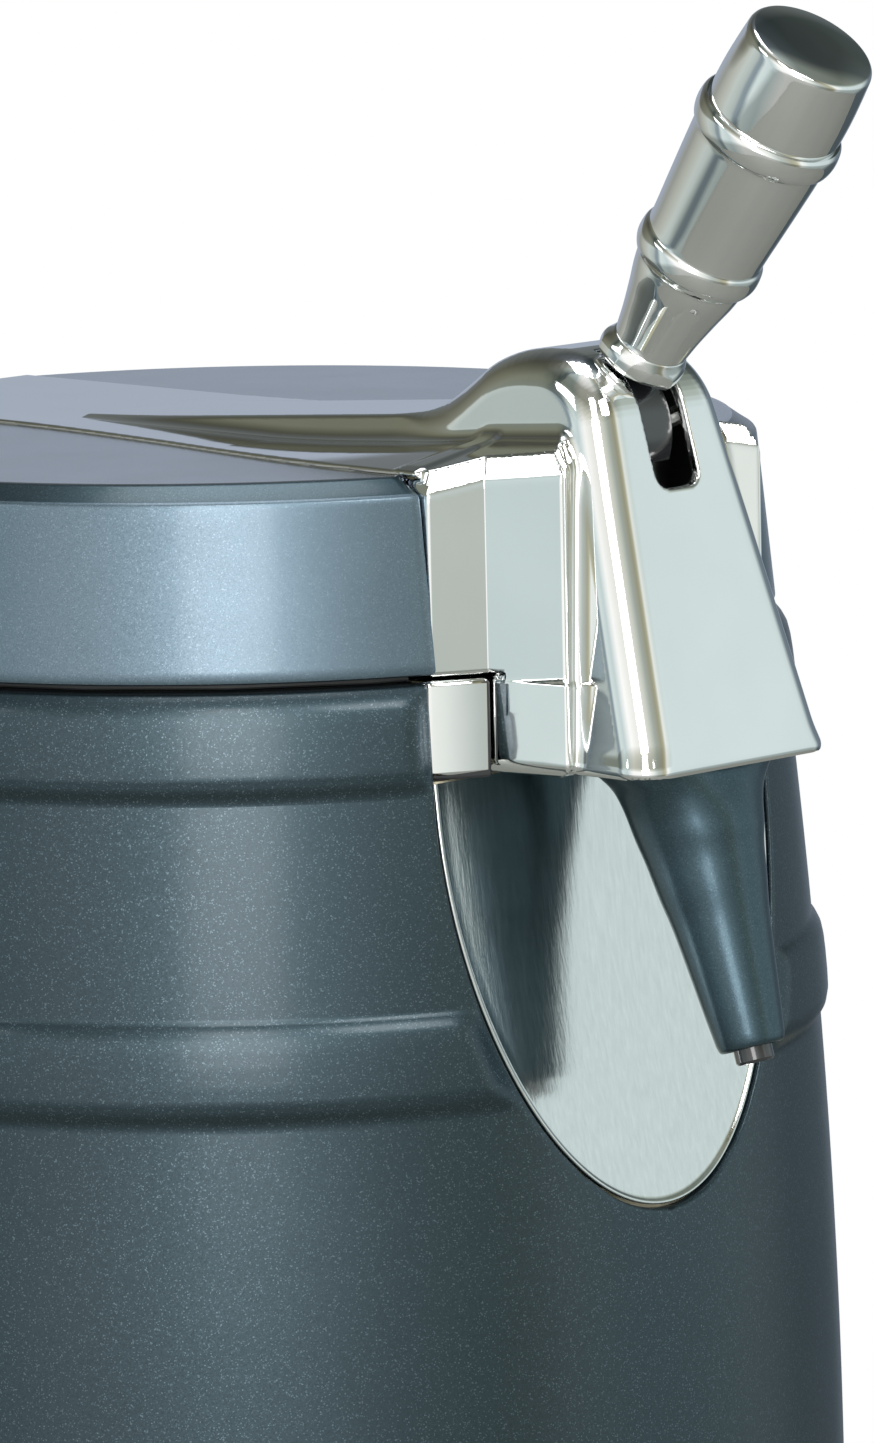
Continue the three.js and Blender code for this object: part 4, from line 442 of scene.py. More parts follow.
def mirrored_ring(ring):
    """Points of (angle from the front, level, radius) and their mirror images, as one run."""
    points = [(r * math.sin(a), -r * math.cos(a), level) for a, level, r in ring]
    return points + [(-x, y, level) for x, y, level in reversed(points[:-1])]


def barrel_surface(z, gap):
    """The barrel's radius at a level, with the hoops fading out at a gap beside the bay."""
    return barrel_radius(z) + rib_height(z) * smoothstep(*RIB_FADE, gap)


def wrapped_barrel(rows):
    """Points of a sheet round the axis from one side of the bay to the other, with rolled lips.

    Below the bay's foot the two sides meet. The columns grow wider away from the bay."""
    spread = [(j / (BARREL_COLUMNS - 1)) ** 1.25 for j in range(BARREL_COLUMNS)]
    verts = []
    for z, inset in rows:
        open_here = z >= BAY_FOOT - 0.001
        edge = bay_edge(z) if open_here else 0.0
        across, up = bay_normal(z) if open_here else (0.0, 0.0)
        ring = []
        for out, deep in BARREL_LIP:
            if open_here:
                x, level = edge + across * out, z + up * out
                radius = barrel_surface(level, 0.0) - inset - deep
                ring.append((math.asin(min(1, x / radius)), level, radius))
            else:
                ring.append((0.0, z, barrel_surface(z, FAR) - inset))
        first, first_level, _ = ring[-1]
        for share in spread[1:]:
            angle = first + (math.pi - first) * share
            level = z + (first_level - z) * (1 - smoothstep(0, 0.2, share))
            gap = barrel_surface(level, 0.0) * angle - edge if open_here else FAR
            ring.append((angle, level, barrel_surface(level, gap) - inset))
        verts += mirrored_ring(ring)
    return verts, 2 * (len(BARREL_LIP) + BARREL_COLUMNS - 1) - 1


def behind_panel(x, y, z):
    """The skin steps back behind the panel's flat face, which is set into the barrel there."""
    covered = abs(x) < PANEL_COVER and PANEL_FOOT + 0.3 < z < PANEL_TOP + 0.1
    return max(y, PANEL_SETBACK - PANEL_REACH) if covered else y


def barrel_shell():
    inset = END_RADIUS - FLANGE_RADIUS
    rows = [(BARREL_TOP - FLANGE_DROP, inset), (BARREL_TOP, inset)]
    rows += rounded_edge(BARREL_TOP, 1) + [(z, 0.0) for z in barrel_levels()]
    rows += rounded_edge(BARREL_BOTTOM, -1)[::-1]
    rows += [(BARREL_BOTTOM, RETURN_INSET), (BARREL_BOTTOM + RETURN_HEIGHT, RETURN_INSET)]
    verts, columns = wrapped_barrel(rows)
    verts = [(x, behind_panel(x, y, z), z) for x, y, z in verts]
    faces = grid_faces(len(rows), columns)
    body, slot, stands_for = "cabinet", "barrel_paint", ["barrel_shell"]
    piece = make_piece("barrel_skin", verts, faces, BARREL_PAINT, body, stands_for)
    weld(piece, SEAM)
    auto_smooth(piece, 50)


# Lid
def lid_radius(z):
    share = (LID_SHOULDER - z) / (LID_SHOULDER - LID_BOTTOM)
    return LID_SHOULDER_RADIUS + (LID_BASE_RADIUS - LID_SHOULDER_RADIUS) * share


def lid_start(radius):
    """Half width where a ring of the lid starts beside or behind the bay's notch."""
    corner = math.hypot(BAY_TOP_HALF_WIDTH, BAY_BACK)
    if radius > corner:
        return BAY_TOP_HALF_WIDTH + NOTCH_CLEARANCE
    return math.sqrt(max(0, radius**2 - BAY_BACK**2))


def lid_rows(run):
    """Rows of (level, inset) up the band, over the bevel of the given width, and inwards."""
    foot, shoulder = LID_BOTTOM, LID_SHOULDER
    rows = [(foot + 6, 2.4), (foot, 2.4), (foot, 1.1), (foot + 0.35, 0.35), (foot + 1.1, 0)]
    rows += [(z, 0.0) for z in np.linspace(foot + 3, shoulder - 1.5, 12)]
    rows += [(shoulder - 0.5, 0.05), (shoulder - 0.1, 0.25), (shoulder + 0.25, 0.8)]
    for share in (0.3, 0.6, 0.88):
        rows.append((shoulder * (1 - share) - 0.12 * share, 0.55 + (run - 0.55) * share))
    rows += [(-0.05, run), (0.04, run + 0.5), (0.1, run + 1.0)]
    for radius in LID_TOP_RINGS:
        rows.append((0.1 + 0.2 * smoothstep(108, 40, radius), LID_SHOULDER_RADIUS - radius))
    return rows


def lid_skin():
    """The lid's band, bevel and flat top as one sheet with the bay cut out of its front."""
    run = LID_SHOULDER_RADIUS - LID_RIM_RADIUS
    rows = lid_rows(run)
    spread = [(j / (LID_COLUMNS - 1)) ** 1.2 for j in range(LID_COLUMNS)]
    verts = []
    for z, inset in rows:
        radius = lid_radius(min(z, LID_SHOULDER)) - inset
        edge = lid_start(radius)
        ring = []
        for out, deep in LID_LIP:
            level, reach = (z - deep, radius) if inset > run else (z, radius - deep)
            if edge <= 1:
                out, level = 0, z
            ring.append((math.asin(min(1, (edge + out) / reach)), level, reach))
        first = ring[-1][0]
        for share in spread[1:]:
            ring.append((first + (math.pi - first) * share, z, radius))
        verts += mirrored_ring(ring)
    faces = grid_faces(len(rows), 2 * (len(LID_LIP) + LID_COLUMNS - 1) - 1)
    # The band takes the lighter copy of the paint, a painted sheen
    piece = make_piece("lid_skin", verts, faces, BAND_PAINT_AND_SHEEN, "lid", ["lid_shell"])
    # The bevel gets the paint's darker copy, which is painted shade, and the flat top gets its
    # lighter copy, which is a painted reflection
    piece.data.materials.append(LID_EDGE_PAINTED_SHADE)
    piece.data.materials.append(LID_TOP_PAINTED_REFLECTION)
    for polygon in piece.data.polygons:
        middle = (polygon.center[2] - RIM_Z) / MM
        radius = math.hypot(polygon.center[0], polygon.center[1] - AXIS_Y) / MM
        if middle > LID_SHOULDER + 0.3:
            polygon.material_index = 2 if radius < LID_RIM_RADIUS else 1
    weld(piece, SEAM)
    auto_smooth(piece, 40)


# Distance fields for the moulded pieces
def smooth_path(points, step):
    """Points joined by a smooth curve that passes through each of them."""
    points = [np.array(p, float) for p in points]
    ends = [2 * points[0] - points[1], *points, 2 * points[-1] - points[-2]]
    path = []
    for a, b, c, d in zip(ends, ends[1:], ends[2:], ends[3:]):
        count = max(2, int(np.linalg.norm(c - b) / step))
        square, cube = 2 * a - 5 * b + 4 * c - d, 3 * b - a - 3 * c + d
        for t in np.arange(count) / count:
            path.append(0.5 * (2 * b + (c - a) * t + square * t**2 + cube * t**3))
    return [*path, points[-1]]


def polygon_distance(a, b, corners):
    """Signed distance to a closed polygon, negative inside."""
    best, inside = np.inf, False
    for (a0, b0), (a1, b1) in zip(corners, [*corners[1:], corners[0]]):
        ea, eb = a1 - a0, b1 - b0
        wa, wb = a - a0, b - b0
        t = np.clip((wa * ea + wb * eb) / (ea * ea + eb * eb), 0, 1)
        best = np.minimum(best, (wa - ea * t) ** 2 + (wb - eb * t) ** 2)
        if eb != 0:
            inside = inside ^ (((b0 > b) != (b1 > b)) & (a < a0 + wb * ea / eb))
    return np.where(inside, -1, 1) * np.sqrt(best)


def both(a, b, r):
    """Where both fields are inside, the edge between them rounded."""
    u, v = a + r, b + r
    return np.minimum(np.maximum(u, v), 0) + np.hypot(np.maximum(u, 0), np.maximum(v, 0)) - r


def either(a, b, r):
    """Where either field is inside, the crease between them filled."""
    h = np.maximum(r - np.abs(a - b), 0) / r
    return np.minimum(a, b) - h * h * r / 4


def inset_polygon(corners, r):
    """A polygon, given anticlockwise, with each side moved inwards."""
    moved = []
    count = len(corners)
    for i in range(count):
        p, q, s = (np.array(corners[(i + k) % count], float) for k in (-1, 0, 1))
        d0, d1 = (q - p) / np.linalg.norm(q - p), (s - q) / np.linalg.norm(s - q)
        n0, n1 = np.array([-d0[1], d0[0]]), np.array([-d1[1], d1[0]])
        moved.append(tuple(q + r * (n0 + n1) / (1 + n0 @ n1)))
    return moved


def field_mesh(field, low, high, step):
    """A mesh of a field's zero surface: one point in each crossed cell, moved onto the surface."""
    axes = [np.arange(l, h + step, step) for l, h in zip(low, high)]
    x, y, z = axes[0][:, None, None], axes[1][None, :, None], axes[2][None, None, :]
    values = np.broadcast_to(field(x, y, z), [len(a) for a in axes])
    inside = values < 0
    shape = [n - 1 for n in inside.shape]
    total = sum(
        inside[i : i + shape[0], j : j + shape[1], k : k + shape[2]].astype(np.int8)
        for i in (0, 1)
        for j in (0, 1)
        for k in (0, 1)
    )
    crossed = (total > 0) & (total < 8)
    index = np.full(crossed.shape, -1)
    cells = np.argwhere(crossed)
    index[crossed] = np.arange(len(cells))
    points = np.array(low) + (cells + 0.5) * step
    # Each move goes along the gradient and is at most this share of a cell
    share = 0.6
    for _ in range(5):
        value, slope = field_slope(field, points)
        move = -slope * (value / np.maximum((slope**2).sum(1), 0.2))[:, None]
        points += np.clip(move, -share * step, share * step)
    faces = []
    for axis in range(3):
        others = [a for a in range(3) if a != axis]
        one = np.take(inside, range(shape[axis]), axis)
        two = np.take(inside, range(1, shape[axis] + 1), axis)
        changes = np.argwhere(one != two)
        keep = [(changes[:, a] > 0) & (changes[:, a] < shape[a]) for a in others]
        changes = changes[np.all(keep, axis=0)]
        outward = one[tuple(changes.T)]
        corners = []
        for du, dv in ((1, 1), (0, 1), (0, 0), (1, 0)):
            at = changes.copy()
            at[:, others[0]] -= du
            at[:, others[1]] -= dv
            corners.append(index[tuple(at.T)])
        quads = np.stack(corners, 1)
        flip = outward if axis != 1 else ~outward
        quads[~flip] = quads[~flip][:, ::-1]
        faces.append(quads)
    faces = np.concatenate(faces)
    faces = faces[(faces >= 0).all(1)]
    _, slope = field_slope(field, points)
    return points, faces, slope / np.linalg.norm(slope, axis=1)[:, None]


def field_slope(field, points):
    """The field's value and gradient at each point."""
    x, y, z = points.T
    value = field(x, y, z)
    reach = 0.05
    slope = [
        field(x + reach, y, z) - field(x - reach, y, z),
        field(x, y + reach, z) - field(x, y - reach, z),
        field(x, y, z + reach) - field(x, y, z - reach),
    ]
    return value, np.stack(slope, 1) / (2 * reach)


# Tap tower and lid spine
def ramp_height(y):
    """Height of the spine's ridge, which rises from the lid's hinge side to the tower."""
    return 1 + np.maximum(0, (28 - y) * 0.0727)


def from_pivot(radius, degrees):
    """The (y, z) at a radius from the lever's pivot, turned forward from upright."""
    turn = math.radians(degrees)
    return (PIVOT_Y - radius * math.sin(turn), PIVOT_Z + radius * math.cos(turn))


def tower_profile(radius, back):
    """The tower's side view: leaning front, round crown, then the points of its back."""
    top_y, top_z = from_pivot(radius, 90 - math.degrees(FACE_LEAN))
    front = [(top_y - (top_z + 76) * math.tan(FACE_LEAN), -76)]
    crown = [from_pivot(radius, a) for a in np.linspace(90 - math.degrees(FACE_LEAN), 0, 20)]
    return front + crown + back


S_CURVE = [(-111.6, 24.0), (-106, 23.8), (-100, 22.8), (-94, 20.5), (-89.5, 17.4), (-85.5, 14.4)]
S_CURVE += [(-81, 11.3), (-76, 9.2), (-70, 8.25), (-62, 7.54), (-50, 6.67)]
BACK = [tuple(p) for p in smooth_path(S_CURVE, 1.6)][1:] + [(27, 1.073), (28, -3), (-60, -76)]
OUTSIDE_PROFILE = tower_profile(CROWN_RADIUS, BACK)
HOLLOW_BACK = [(-99.5, PIVOT_Z + 13), (-99.5, -38.2), (-106.9, LOWER_WING_TOP), (-106.9, -76)]
HOLLOW_PROFILE = tower_profile(CROWN_RADIUS - TOWER_WALL, HOLLOW_BACK)
PLAN_ROUND = 0.7
UPPER_PLAN = [(-46.2, -95), (-46.2, -105.6), (-35, -111.2), (-30, -129), (-19, -121.3)]
LOWER_PLAN = [(-34.6, -104.5), (-34.6, -112.4), (-31.2, -130.2), (-20.2, -122.5)]
UPPER_PLAN = inset_polygon(UPPER_PLAN + [(-x, y) for x, y in UPPER_PLAN[::-1]], PLAN_ROUND)
LOWER_PLAN = inset_polygon(LOWER_PLAN + [(-x, y) for x, y in LOWER_PLAN[::-1]], PLAN_ROUND)
SPINE_Y = [-100.4, -66.3, -40.3, -12.2, 26.9, 60, 100]
SPINE_HALF = [46.2, 44.8, 41.6, 37.0, 32.3, 32.0, 32.0]
SPINE_FOOT = [1, 0.72, 0.42, 0.22, 0.05, 0, 0]
SPINE_PATH = smooth_path(list(zip(SPINE_Y, SPINE_HALF)), 3)


def spine_top(x, y, z):
    """Distance over the spine's upper face, and the spine's half width there."""
    outer = np.interp(y, [p[0] for p in SPINE_PATH], [p[1] for p in SPINE_PATH])
    foot = 1 + np.interp(y, SPINE_Y, SPINE_FOOT) * np.maximum(0, ramp_height(y) - 5.7)
    height = foot + (1 - foot) * np.clip((x - 19.8) / (outer - 19.8), 0, 1)
    return (z - height) * 0.97, outer


def wing_field(x, y, z, over):
    """The wings that spread beside the tower's front, with a step between upper and lower ones."""
    plan = polygon_distance(x, y, UPPER_PLAN) - PLAN_ROUND
    chamfer = 0.909 * plan + 0.4167 * over + 2.0
    upper = both(both(over, plan, 0.3), chamfer, 0.4)
    lowest = np.where(x < 34.0, -50 - z, -41.4 - z)
    upper = np.maximum(both(upper, lowest, 0.9), y - BAY_BACK)
    plan = polygon_distance(x, y, LOWER_PLAN) - PLAN_ROUND
    step = z - LOWER_WING_TOP
    lower = both(both(step, plan, 0.2), (step + plan + 1.3) * 0.707, 0.3)
    return either(upper, lower, 0.5)


def slot_field(x, y, z):
    """The slot over the crown that the lever swings in."""
    reach = np.hypot(y - PIVOT_Y, z - PIVOT_Z)
    from_top = np.degrees(np.arctan2(-(y - PIVOT_Y), z - PIVOT_Z))
    ahead = (14 - from_top) * 0.25
    slot = both(both(x - 6.4, -4.5 - z, 3.5), np.maximum(ahead, 14.5 - reach), 0.5)
    return np.where(y < PIVOT_Y + 10, slot, 5.0)


def tower_field(x, y, z):
    """The chrome tower with its wings and the spine over the lid, hollow from below."""
    x = np.abs(x)
    raised = z - TOWER_BOTTOM
    half = 28.6 - raised * (10 / 86.4) + 0.9 * smoothstep(8, 0, raised)
    back = smoothstep(-90, -68, y)
    wall = 17 + np.clip(ramp_height(y) - z, 0, 40) * 0.6
    half = half * (1 - back) + wall * back
    profile = polygon_distance(y, z, OUTSIDE_PROFILE)
    body = both(profile, (x - half) * 0.97, 8.0 - 7.1 * back)
    over, outer = spine_top(x, y, z)
    ends = np.maximum(-102 - y, y - 99.5)
    spine = np.maximum(both(both(over, x - outer, 0.8), ends, 0.8), 0.3 - z)
    solid = either(either(body, wing_field(x, y, z, over), 3.6), spine, 2.5)
    hollow = both(polygon_distance(y, z, HOLLOW_PROFILE), x - (half - TOWER_WALL), 4.1)
    solid = np.maximum(solid, -hollow)
    solid = both(solid, -slot_field(x, y, z), 0.7)
    solid = np.maximum(solid, np.where(z < 0.3, y - BAY_BACK, -5))
    solid = np.maximum(solid, np.where(z < LOWER_WING_TOP, y + 104.5, -5))
    return both(solid, TOWER_BOTTOM - z, 3.4)


def tower():
    step = 0.62
    low, high = (-48.0, -153.0, -64.0), (48.0, 101.0, 26.0)
    points, faces, normals = field_mesh(tower_field, low, high, step)
    stands_for = ["tower_housing"]
    piece = make_piece(
        "tap_tower", points, faces, CHROME, "lid", stands_for, normals=normals
    )
    piece.data.materials.append(SATIN_BLACK)
    for polygon in piece.data.polygons:
        level = (polygon.center[2] - RIM_Z) / MM
        if polygon.normal[2] < -0.97 and level < TOWER_BOTTOM + 0.8:
            polygon.material_index = 1


# Chrome saddle on the crown
SADDLE_ALONG = [-8.6, -7.6, -5.5, -2, 1, 4, 7, 9.2]
SADDLE_HALF = [3.2, 5.4, 7.6, 8.6, 8.6, 7.3, 4.4, 0.2]


def saddle_field(x, y, z):
    """In the lever's own axes: x across, y forward along the crown, z up the handle."""
    reach = np.hypot(y, z)
    degrees = np.degrees(np.arctan2(y, z))
    along = degrees * 0.37
    x = np.abs(x)
    half = np.interp(along, SADDLE_ALONG, SADDLE_HALF)
    plate = both(np.abs(reach - 21.0) - 1.7, (x - half) * 0.82, 1.3)
    ends = np.maximum(SADDLE_ALONG[0] - along, along - SADDLE_ALONG[-1])
    plate = both(plate, ends, 1.2)
    stem = both(np.hypot(x, y) - (8.0 + np.clip(24 - z, 0, 6) * 0.15), np.abs(z - 21.8) - 2.4, 0.4)
    return either(plate, stem, 3.4)


def collar():
    low, high = (-11.0, -12.0, 16.0), (11.0, 12.0, 26.0)
    points, faces, normals = field_mesh(saddle_field, low, high, 0.32)
    turn = Matrix.Rotation(LEVER_LEAN, 3, "X")
    flip = np.array(turn @ Matrix.Diagonal((1, -1, 1)))
    points = points @ flip.T + np.array([0, PIVOT_Y, PIVOT_Z])
    normals, faces, stands_for = normals @ flip.T, faces[:, ::-1], ["handle_collar"]
    make_piece(
        "chrome_saddle", points, faces, CHROME, "lever", stands_for, normals=normals
    )


# Lever, handle and spout
def lever_strip():
    """The black strip that is bent round the crown under the saddle."""
    half, thickness = STRIP_HALF_WIDTH, STRIP_THICKNESS
    section = [(-half, 0), (-half, thickness), (half, thickness), (half, 0)]
    turns = np.linspace(*STRIP_TURNS, 90)
    verts = []
    for turn in turns:
        for x, deep in section:
            verts.append((x, *from_pivot(STRIP_RADIUS - deep, turn)))
    faces = grid_faces(len(turns), 4, True)
    faces += [(0, 1, 2, 3), tuple(len(verts) - 4 + k for k in (3, 2, 1, 0))]
    body, slot, stands_for = "lever", "black_plastic", ["lever_arm"]
    piece = make_piece("lever_strip", verts, faces, STRIP_BLACK, body, stands_for)
    weld(piece)
    auto_smooth(piece, 30)
    bevel(piece, 0.3, 2)


STEM = [(8, 24.2), (8.9, 29.5), (10.2, 35.5), (11.3, 40), (11.8, 42.8), (11.9, 44.2)]
BEAD = [(12.0, 44.5), (12.8, 45.0), (13.5, 46.6), (13.65, 48.2), (13.4, 50.2), (12.8, 51.2)]
GRIP = [(12.75, 51.6), (12.95, 55), (13.4, 61), (13.9, 68), (14.3, 74), (14.5, 77.6)]
RING = [(14.6, 77.9), (15.3, 78.3), (15.75, 79.8), (15.85, 81.4), (15.6, 83.2), (15.0, 84.1)]
CAP_SIDE = [(14.4, 84.3), (14.5, 86), (14.5, 91), (14.25, 96), (13.9, 100.6)]
CAP_EDGE = [(13.82, 101.2), (13.6, 101.8), (13.25, 102.2), (12.8, 102.45)]


def handle():
    profile = [(0, 24.2), *smooth_path(STEM, 0.5), *smooth_path(BEAD, 0.3)]
    profile += [*smooth_path(GRIP, 1.0), *smooth_path(RING, 0.3), (0, 84.2)]
    turned(
        "handle_grip", profile, CHROME, "lever", ["tap_handle"], 120, LEVER_LEAN
    )
    profile = [(0, 84.0), (14.2, 84.0), *smooth_path(CAP_SIDE, 0.8), *CAP_EDGE]
    profile += [(6, 102.9), (0.4, 103.05), (0, 103.05)]
    turned(
        "handle_top", profile, CHROME, "lever", ["handle_cap"], 120, LEVER_LEAN
    )


# Distance down the spout, half width and half depth
SPOUT_STATIONS = [(70.2, 25.0, 13.6), (71.6, 23.0, 13.6), (73.2, 21.0, 13.6), (76.3, 17.6, 13.8)]
SPOUT_STATIONS += [(80.5, 15.2, 13.9), (85.7, 13.7, 13.6), (91, 12.55, 12.5), (98, 11.5, 11.5)]
SPOUT_STATIONS += [(105, 10.3, 10.3), (115, 9.1, 9.1), (124, 8.1, 8.1), (130.4, 7.3, 7.3)]
SPOUT_TIP = [(131.2, 7.1), (131.8, 6.9), (132.15, 6.55), (132.2, 6.2), (131.9, 5.9)]
SPOUT_TIP += [(131.0, 5.7), (124.0, 5.6), (123.9, 4.2)]
SPOUT_SIDES = 96
NOZZLE = [(4.1, -124.2), (4.1, -134.9), (3.7, -135.4), (2.9, -135.4), (2.6, -134.9), (2.6, -124.2)]


def spout_ring(along, wide, deep):
    """One ring of the spout, level at the tower's foot and square to the spout further down."""
    tilt = SPOUT_LEAN * smoothstep(70, 98, along)
    ring = []
    for i in range(SPOUT_SIDES):
        turn = 2 * math.pi * i / SPOUT_SIDES
        b = deep * math.sin(turn)
        y = PIVOT_Y - along * math.sin(SPOUT_LEAN) + b * math.cos(tilt)
        z = PIVOT_Z - along * math.cos(SPOUT_LEAN) - b * math.sin(tilt)
        ring.append((wide * math.cos(turn), y, z))
    return ring


def spout():
    rings = [tuple(r) for r in smooth_path(SPOUT_STATIONS, 1.2)]
    rings += [(along, radius, radius) for along, radius in SPOUT_TIP]
    verts = []
    for along, wide, deep in rings:
        verts += spout_ring(along, wide, deep)
    faces = grid_faces(len(rings), SPOUT_SIDES, True)
    piece = make_piece("spout_cone", verts, faces, SPOUT_PAINT, "lid", ["spout"])
    weld(piece)
    auto_smooth(piece, 40)
    slot, stands_for = "black_plastic", ["spout_nozzle"]
    turned("nozzle_ring", NOZZLE, STRIP_BLACK, "lid", stands_for, 64, -SPOUT_LEAN)


# Splash plate: a flat sheet in the bay's arch with a rolled lip round its edge
PLATE_TOP = -63.0
PLATE_COLUMNS = 41
# Distance in from the arch and rise in front of the sheet
PLATE_LIP = [(2.5, 0), (2.1, 0.04), (1.8, 0.2), (1.5, 0.45)]
PLATE_LIP += [(1.2, 0.6), (0.95, 0.5), (0.75, 0.15), (0.7, -1.3)]


def plate_outline(inset):
    """The right half of the plate's outline, from its top down to its foot, as (x, z)."""
    wide, deep = BAY_HALF_WIDTH - inset, BAY_ARCH_DEPTH - inset
    points = [(wide, PLATE_TOP), (wide, (PLATE_TOP + BAY_SPRING) / 2)]
    for a in np.linspace(0, math.pi / 2, 49):
        points.append((wide * math.cos(a), BAY_SPRING - deep * math.sin(a)))
    return points


def plate_reach(z):
    """How far forward the plate stands at a level: its sides keep inside the barrel's edge."""
    share = min(1, max(0, BAY_SPRING - z) / BAY_ARCH_DEPTH)
    half_squared = BAY_HALF_WIDTH**2 * (1 - share * share)
    return math.sqrt(barrel_radius(z) ** 2 - half_squared) - 1.2


def splash_plate():
    inner = plate_outline(PLATE_LIP[0][0])
    verts = []
    for x, z in inner:
        for s in np.linspace(-1, 1, PLATE_COLUMNS):
            verts.append((s * x, -plate_reach(z), z))
    faces = [f[::-1] for f in grid_faces(len(inner), PLATE_COLUMNS)]
    start = len(verts)
    for inset, lift in PLATE_LIP:
        outline = plate_outline(inset)
        ring = [(-x, z) for x, z in outline] + [(x, z) for x, z in outline[::-1][1:]]
        for x, z in ring:
            verts.append((x, -plate_reach(z) - lift, z))
    for f in grid_faces(len(PLATE_LIP), 2 * len(inner) - 1):
        faces.append(tuple(start + i for i in f))
    body, slot, stands_for = "cabinet", "brushed_steel", ["splash_plate"]
    piece = make_piece("splash_sheet", verts, faces, SPLASH_STEEL, body, stands_for)
    weld(piece, 2e-5)
    auto_smooth(piece, 55)


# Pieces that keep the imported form, with welded points, soft edges and smooth curves
def refined(name, source, material, body, edge):
    """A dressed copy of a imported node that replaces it."""
    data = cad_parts[source].data.copy()
    data.name = name
    data.materials.clear()
    data.materials.append(material)
    piece = bpy.data.objects.new(name, data)
    bpy.context.scene.collection.objects.link(piece)
    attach(piece, body)
    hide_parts(source)
    weld(piece, 2e-6)
    for polygon in piece.data.polygons:
        polygon.use_smooth = True
    auto_smooth(piece, REFINED_ANGLE)
    bevel(piece, edge, 2, REFINED_ANGLE)


def prism(name, outline, low, high, material, body, slot, edge):
    """An upright prism over an outline of (x, y) corners, its edges softened."""
    count = len(outline)
    verts = [(x, y, low) for x, y in outline] + [(x, y, high) for x, y in outline]
    faces = [(i, (i + 1) % count, count + (i + 1) % count, count + i) for i in range(count)]
    faces += [tuple(range(count))[::-1], tuple(range(count, 2 * count))]
    piece = make_piece(name, verts, faces, material, body)
    weld(piece)
    auto_smooth(piece, 30)
    bevel(piece, edge, 3, 30)


TRIM_OUTLINE = [(35.4, -100.0), (35.4, -112.3), (46.9, -106.5), (48.7, -104.6), (48.7, -100.0)]
TRIM_LEVELS = -62.2, -42.0


def corner_trims():
    """The fixed shoulders that carry the tower's outer faces on down to the barrel."""
    for name, side in (("corner_trim_left", -1), ("corner_trim_right", 1)):
        outline = [(side * x, y) for x, y in TRIM_OUTLINE]
        prism(name, outline, *TRIM_LEVELS, CHROME, "cabinet", "chrome", 1.1)


REFINED_ANGLE = 32
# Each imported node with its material, body, slot and the width of its softened edges
REFINED = [
    ("base_pan", BLACK_PLASTIC, "cabinet", "black_plastic", 0.8),
    *[(f"foot_{number}", RUBBER, "cabinet", "rubber", 0.6) for number in range(1, 5)],
    ("tap_bay_bridge", SATIN_BLACK, "cabinet", "black_plastic", 0.5),
    ("inner_tub", ALUMINIUM, "cabinet", "aluminium", 0.6),
    ("tub_collar", BLACK_PLASTIC, "cabinet", "black_plastic", 0.5),
    ("keg_rest", GREY_PLASTIC, "cabinet", "grey_plastic", 0.6),
    ("control_fascia", SATIN_BLACK, "cabinet", "black_plastic", 0.6),
    ("display_window", WINDOW_BLACK, "cabinet", "smoked_window", 0.3),
    ("rear_vent_cover", BLACK_PLASTIC, "cabinet", "black_plastic", 0.5),
    ("power_inlet", SATIN_BLACK, "cabinet", "black_plastic", 0.4),
    ("hinge_bracket", SATIN_BLACK, "cabinet", "black_plastic", 0.6),
    ("hinge_leaf", SATIN_BLACK, "lid", "black_plastic", 0.6),
    ("lid_liner", GREY_PLASTIC, "lid", "grey_plastic", 0.7),
    ("lid_gasket", GASKET, "lid", "silicone", 0.5),
    ("keg_coupler", GREY_PLASTIC, "lid", "grey_plastic", 0.4),
    ("drip_tray", SATIN_BLACK, "tray", "black_plastic", 0.8),
    ("drip_grille", GRILLE_STEEL, "grille", "brushed_steel", 0.35),
    ("power_button", KEY_GREY, "power_key", "grey_plastic", 0.4),
    ("warmer_button", KEY_GREY, "warmer_key", "grey_plastic", 0.4),
    ("colder_button", KEY_GREY, "colder_key", "grey_plastic", 0.4),
]

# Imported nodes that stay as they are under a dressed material
KEPT = {
    "insulation_jacket": FOAM,
    "cold_block": ALUMINIUM,
    "peltier_module": CERAMIC,
    "heat_sink": ALUMINIUM,
    "fan_frame": BLACK_PLASTIC,
    "fan_rotor": BLACK_PLASTIC,
    "power_supply": CIRCUIT,
    "control_board": CIRCUIT,
    "hinge_pin": TURNED_STEEL,
    "lid_insulation": FOAM,
    "lever_pin": TURNED_STEEL,
    "valve_body": GREY_PLASTIC,
    "valve_plunger": TURNED_STEEL,
    "beer_tube": SILICONE,
    **{f"cover_screw_{number}": TURNED_STEEL for number in range(1, 5)},
}


def dress():
    """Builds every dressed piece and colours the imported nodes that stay."""
    barrel_shell()
    lid_skin()
    tower()
    splash_plate()
    corner_trims()
    spout()
    lever_strip()
    collar()
    handle()
    for source, material, body, slot, edge in REFINED:
        refined(source + "_piece", source, material, body, edge)
    for source, material in KEPT.items():
        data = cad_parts[source].data
        data.materials.clear()
        data.materials.append(material)


dress()


# Camera at the photograph's place, in metres in the frame
CAMERA_AT = (-1.3420, -1.35355, 0.6883)
CAMERA_AIM = (0.70195, 0.69617, -0.15039)
CAMERA_ROLL = math.radians(-1.21858)
CAMERA_LENS = 223.48
SENSOR_WIDTH = 36


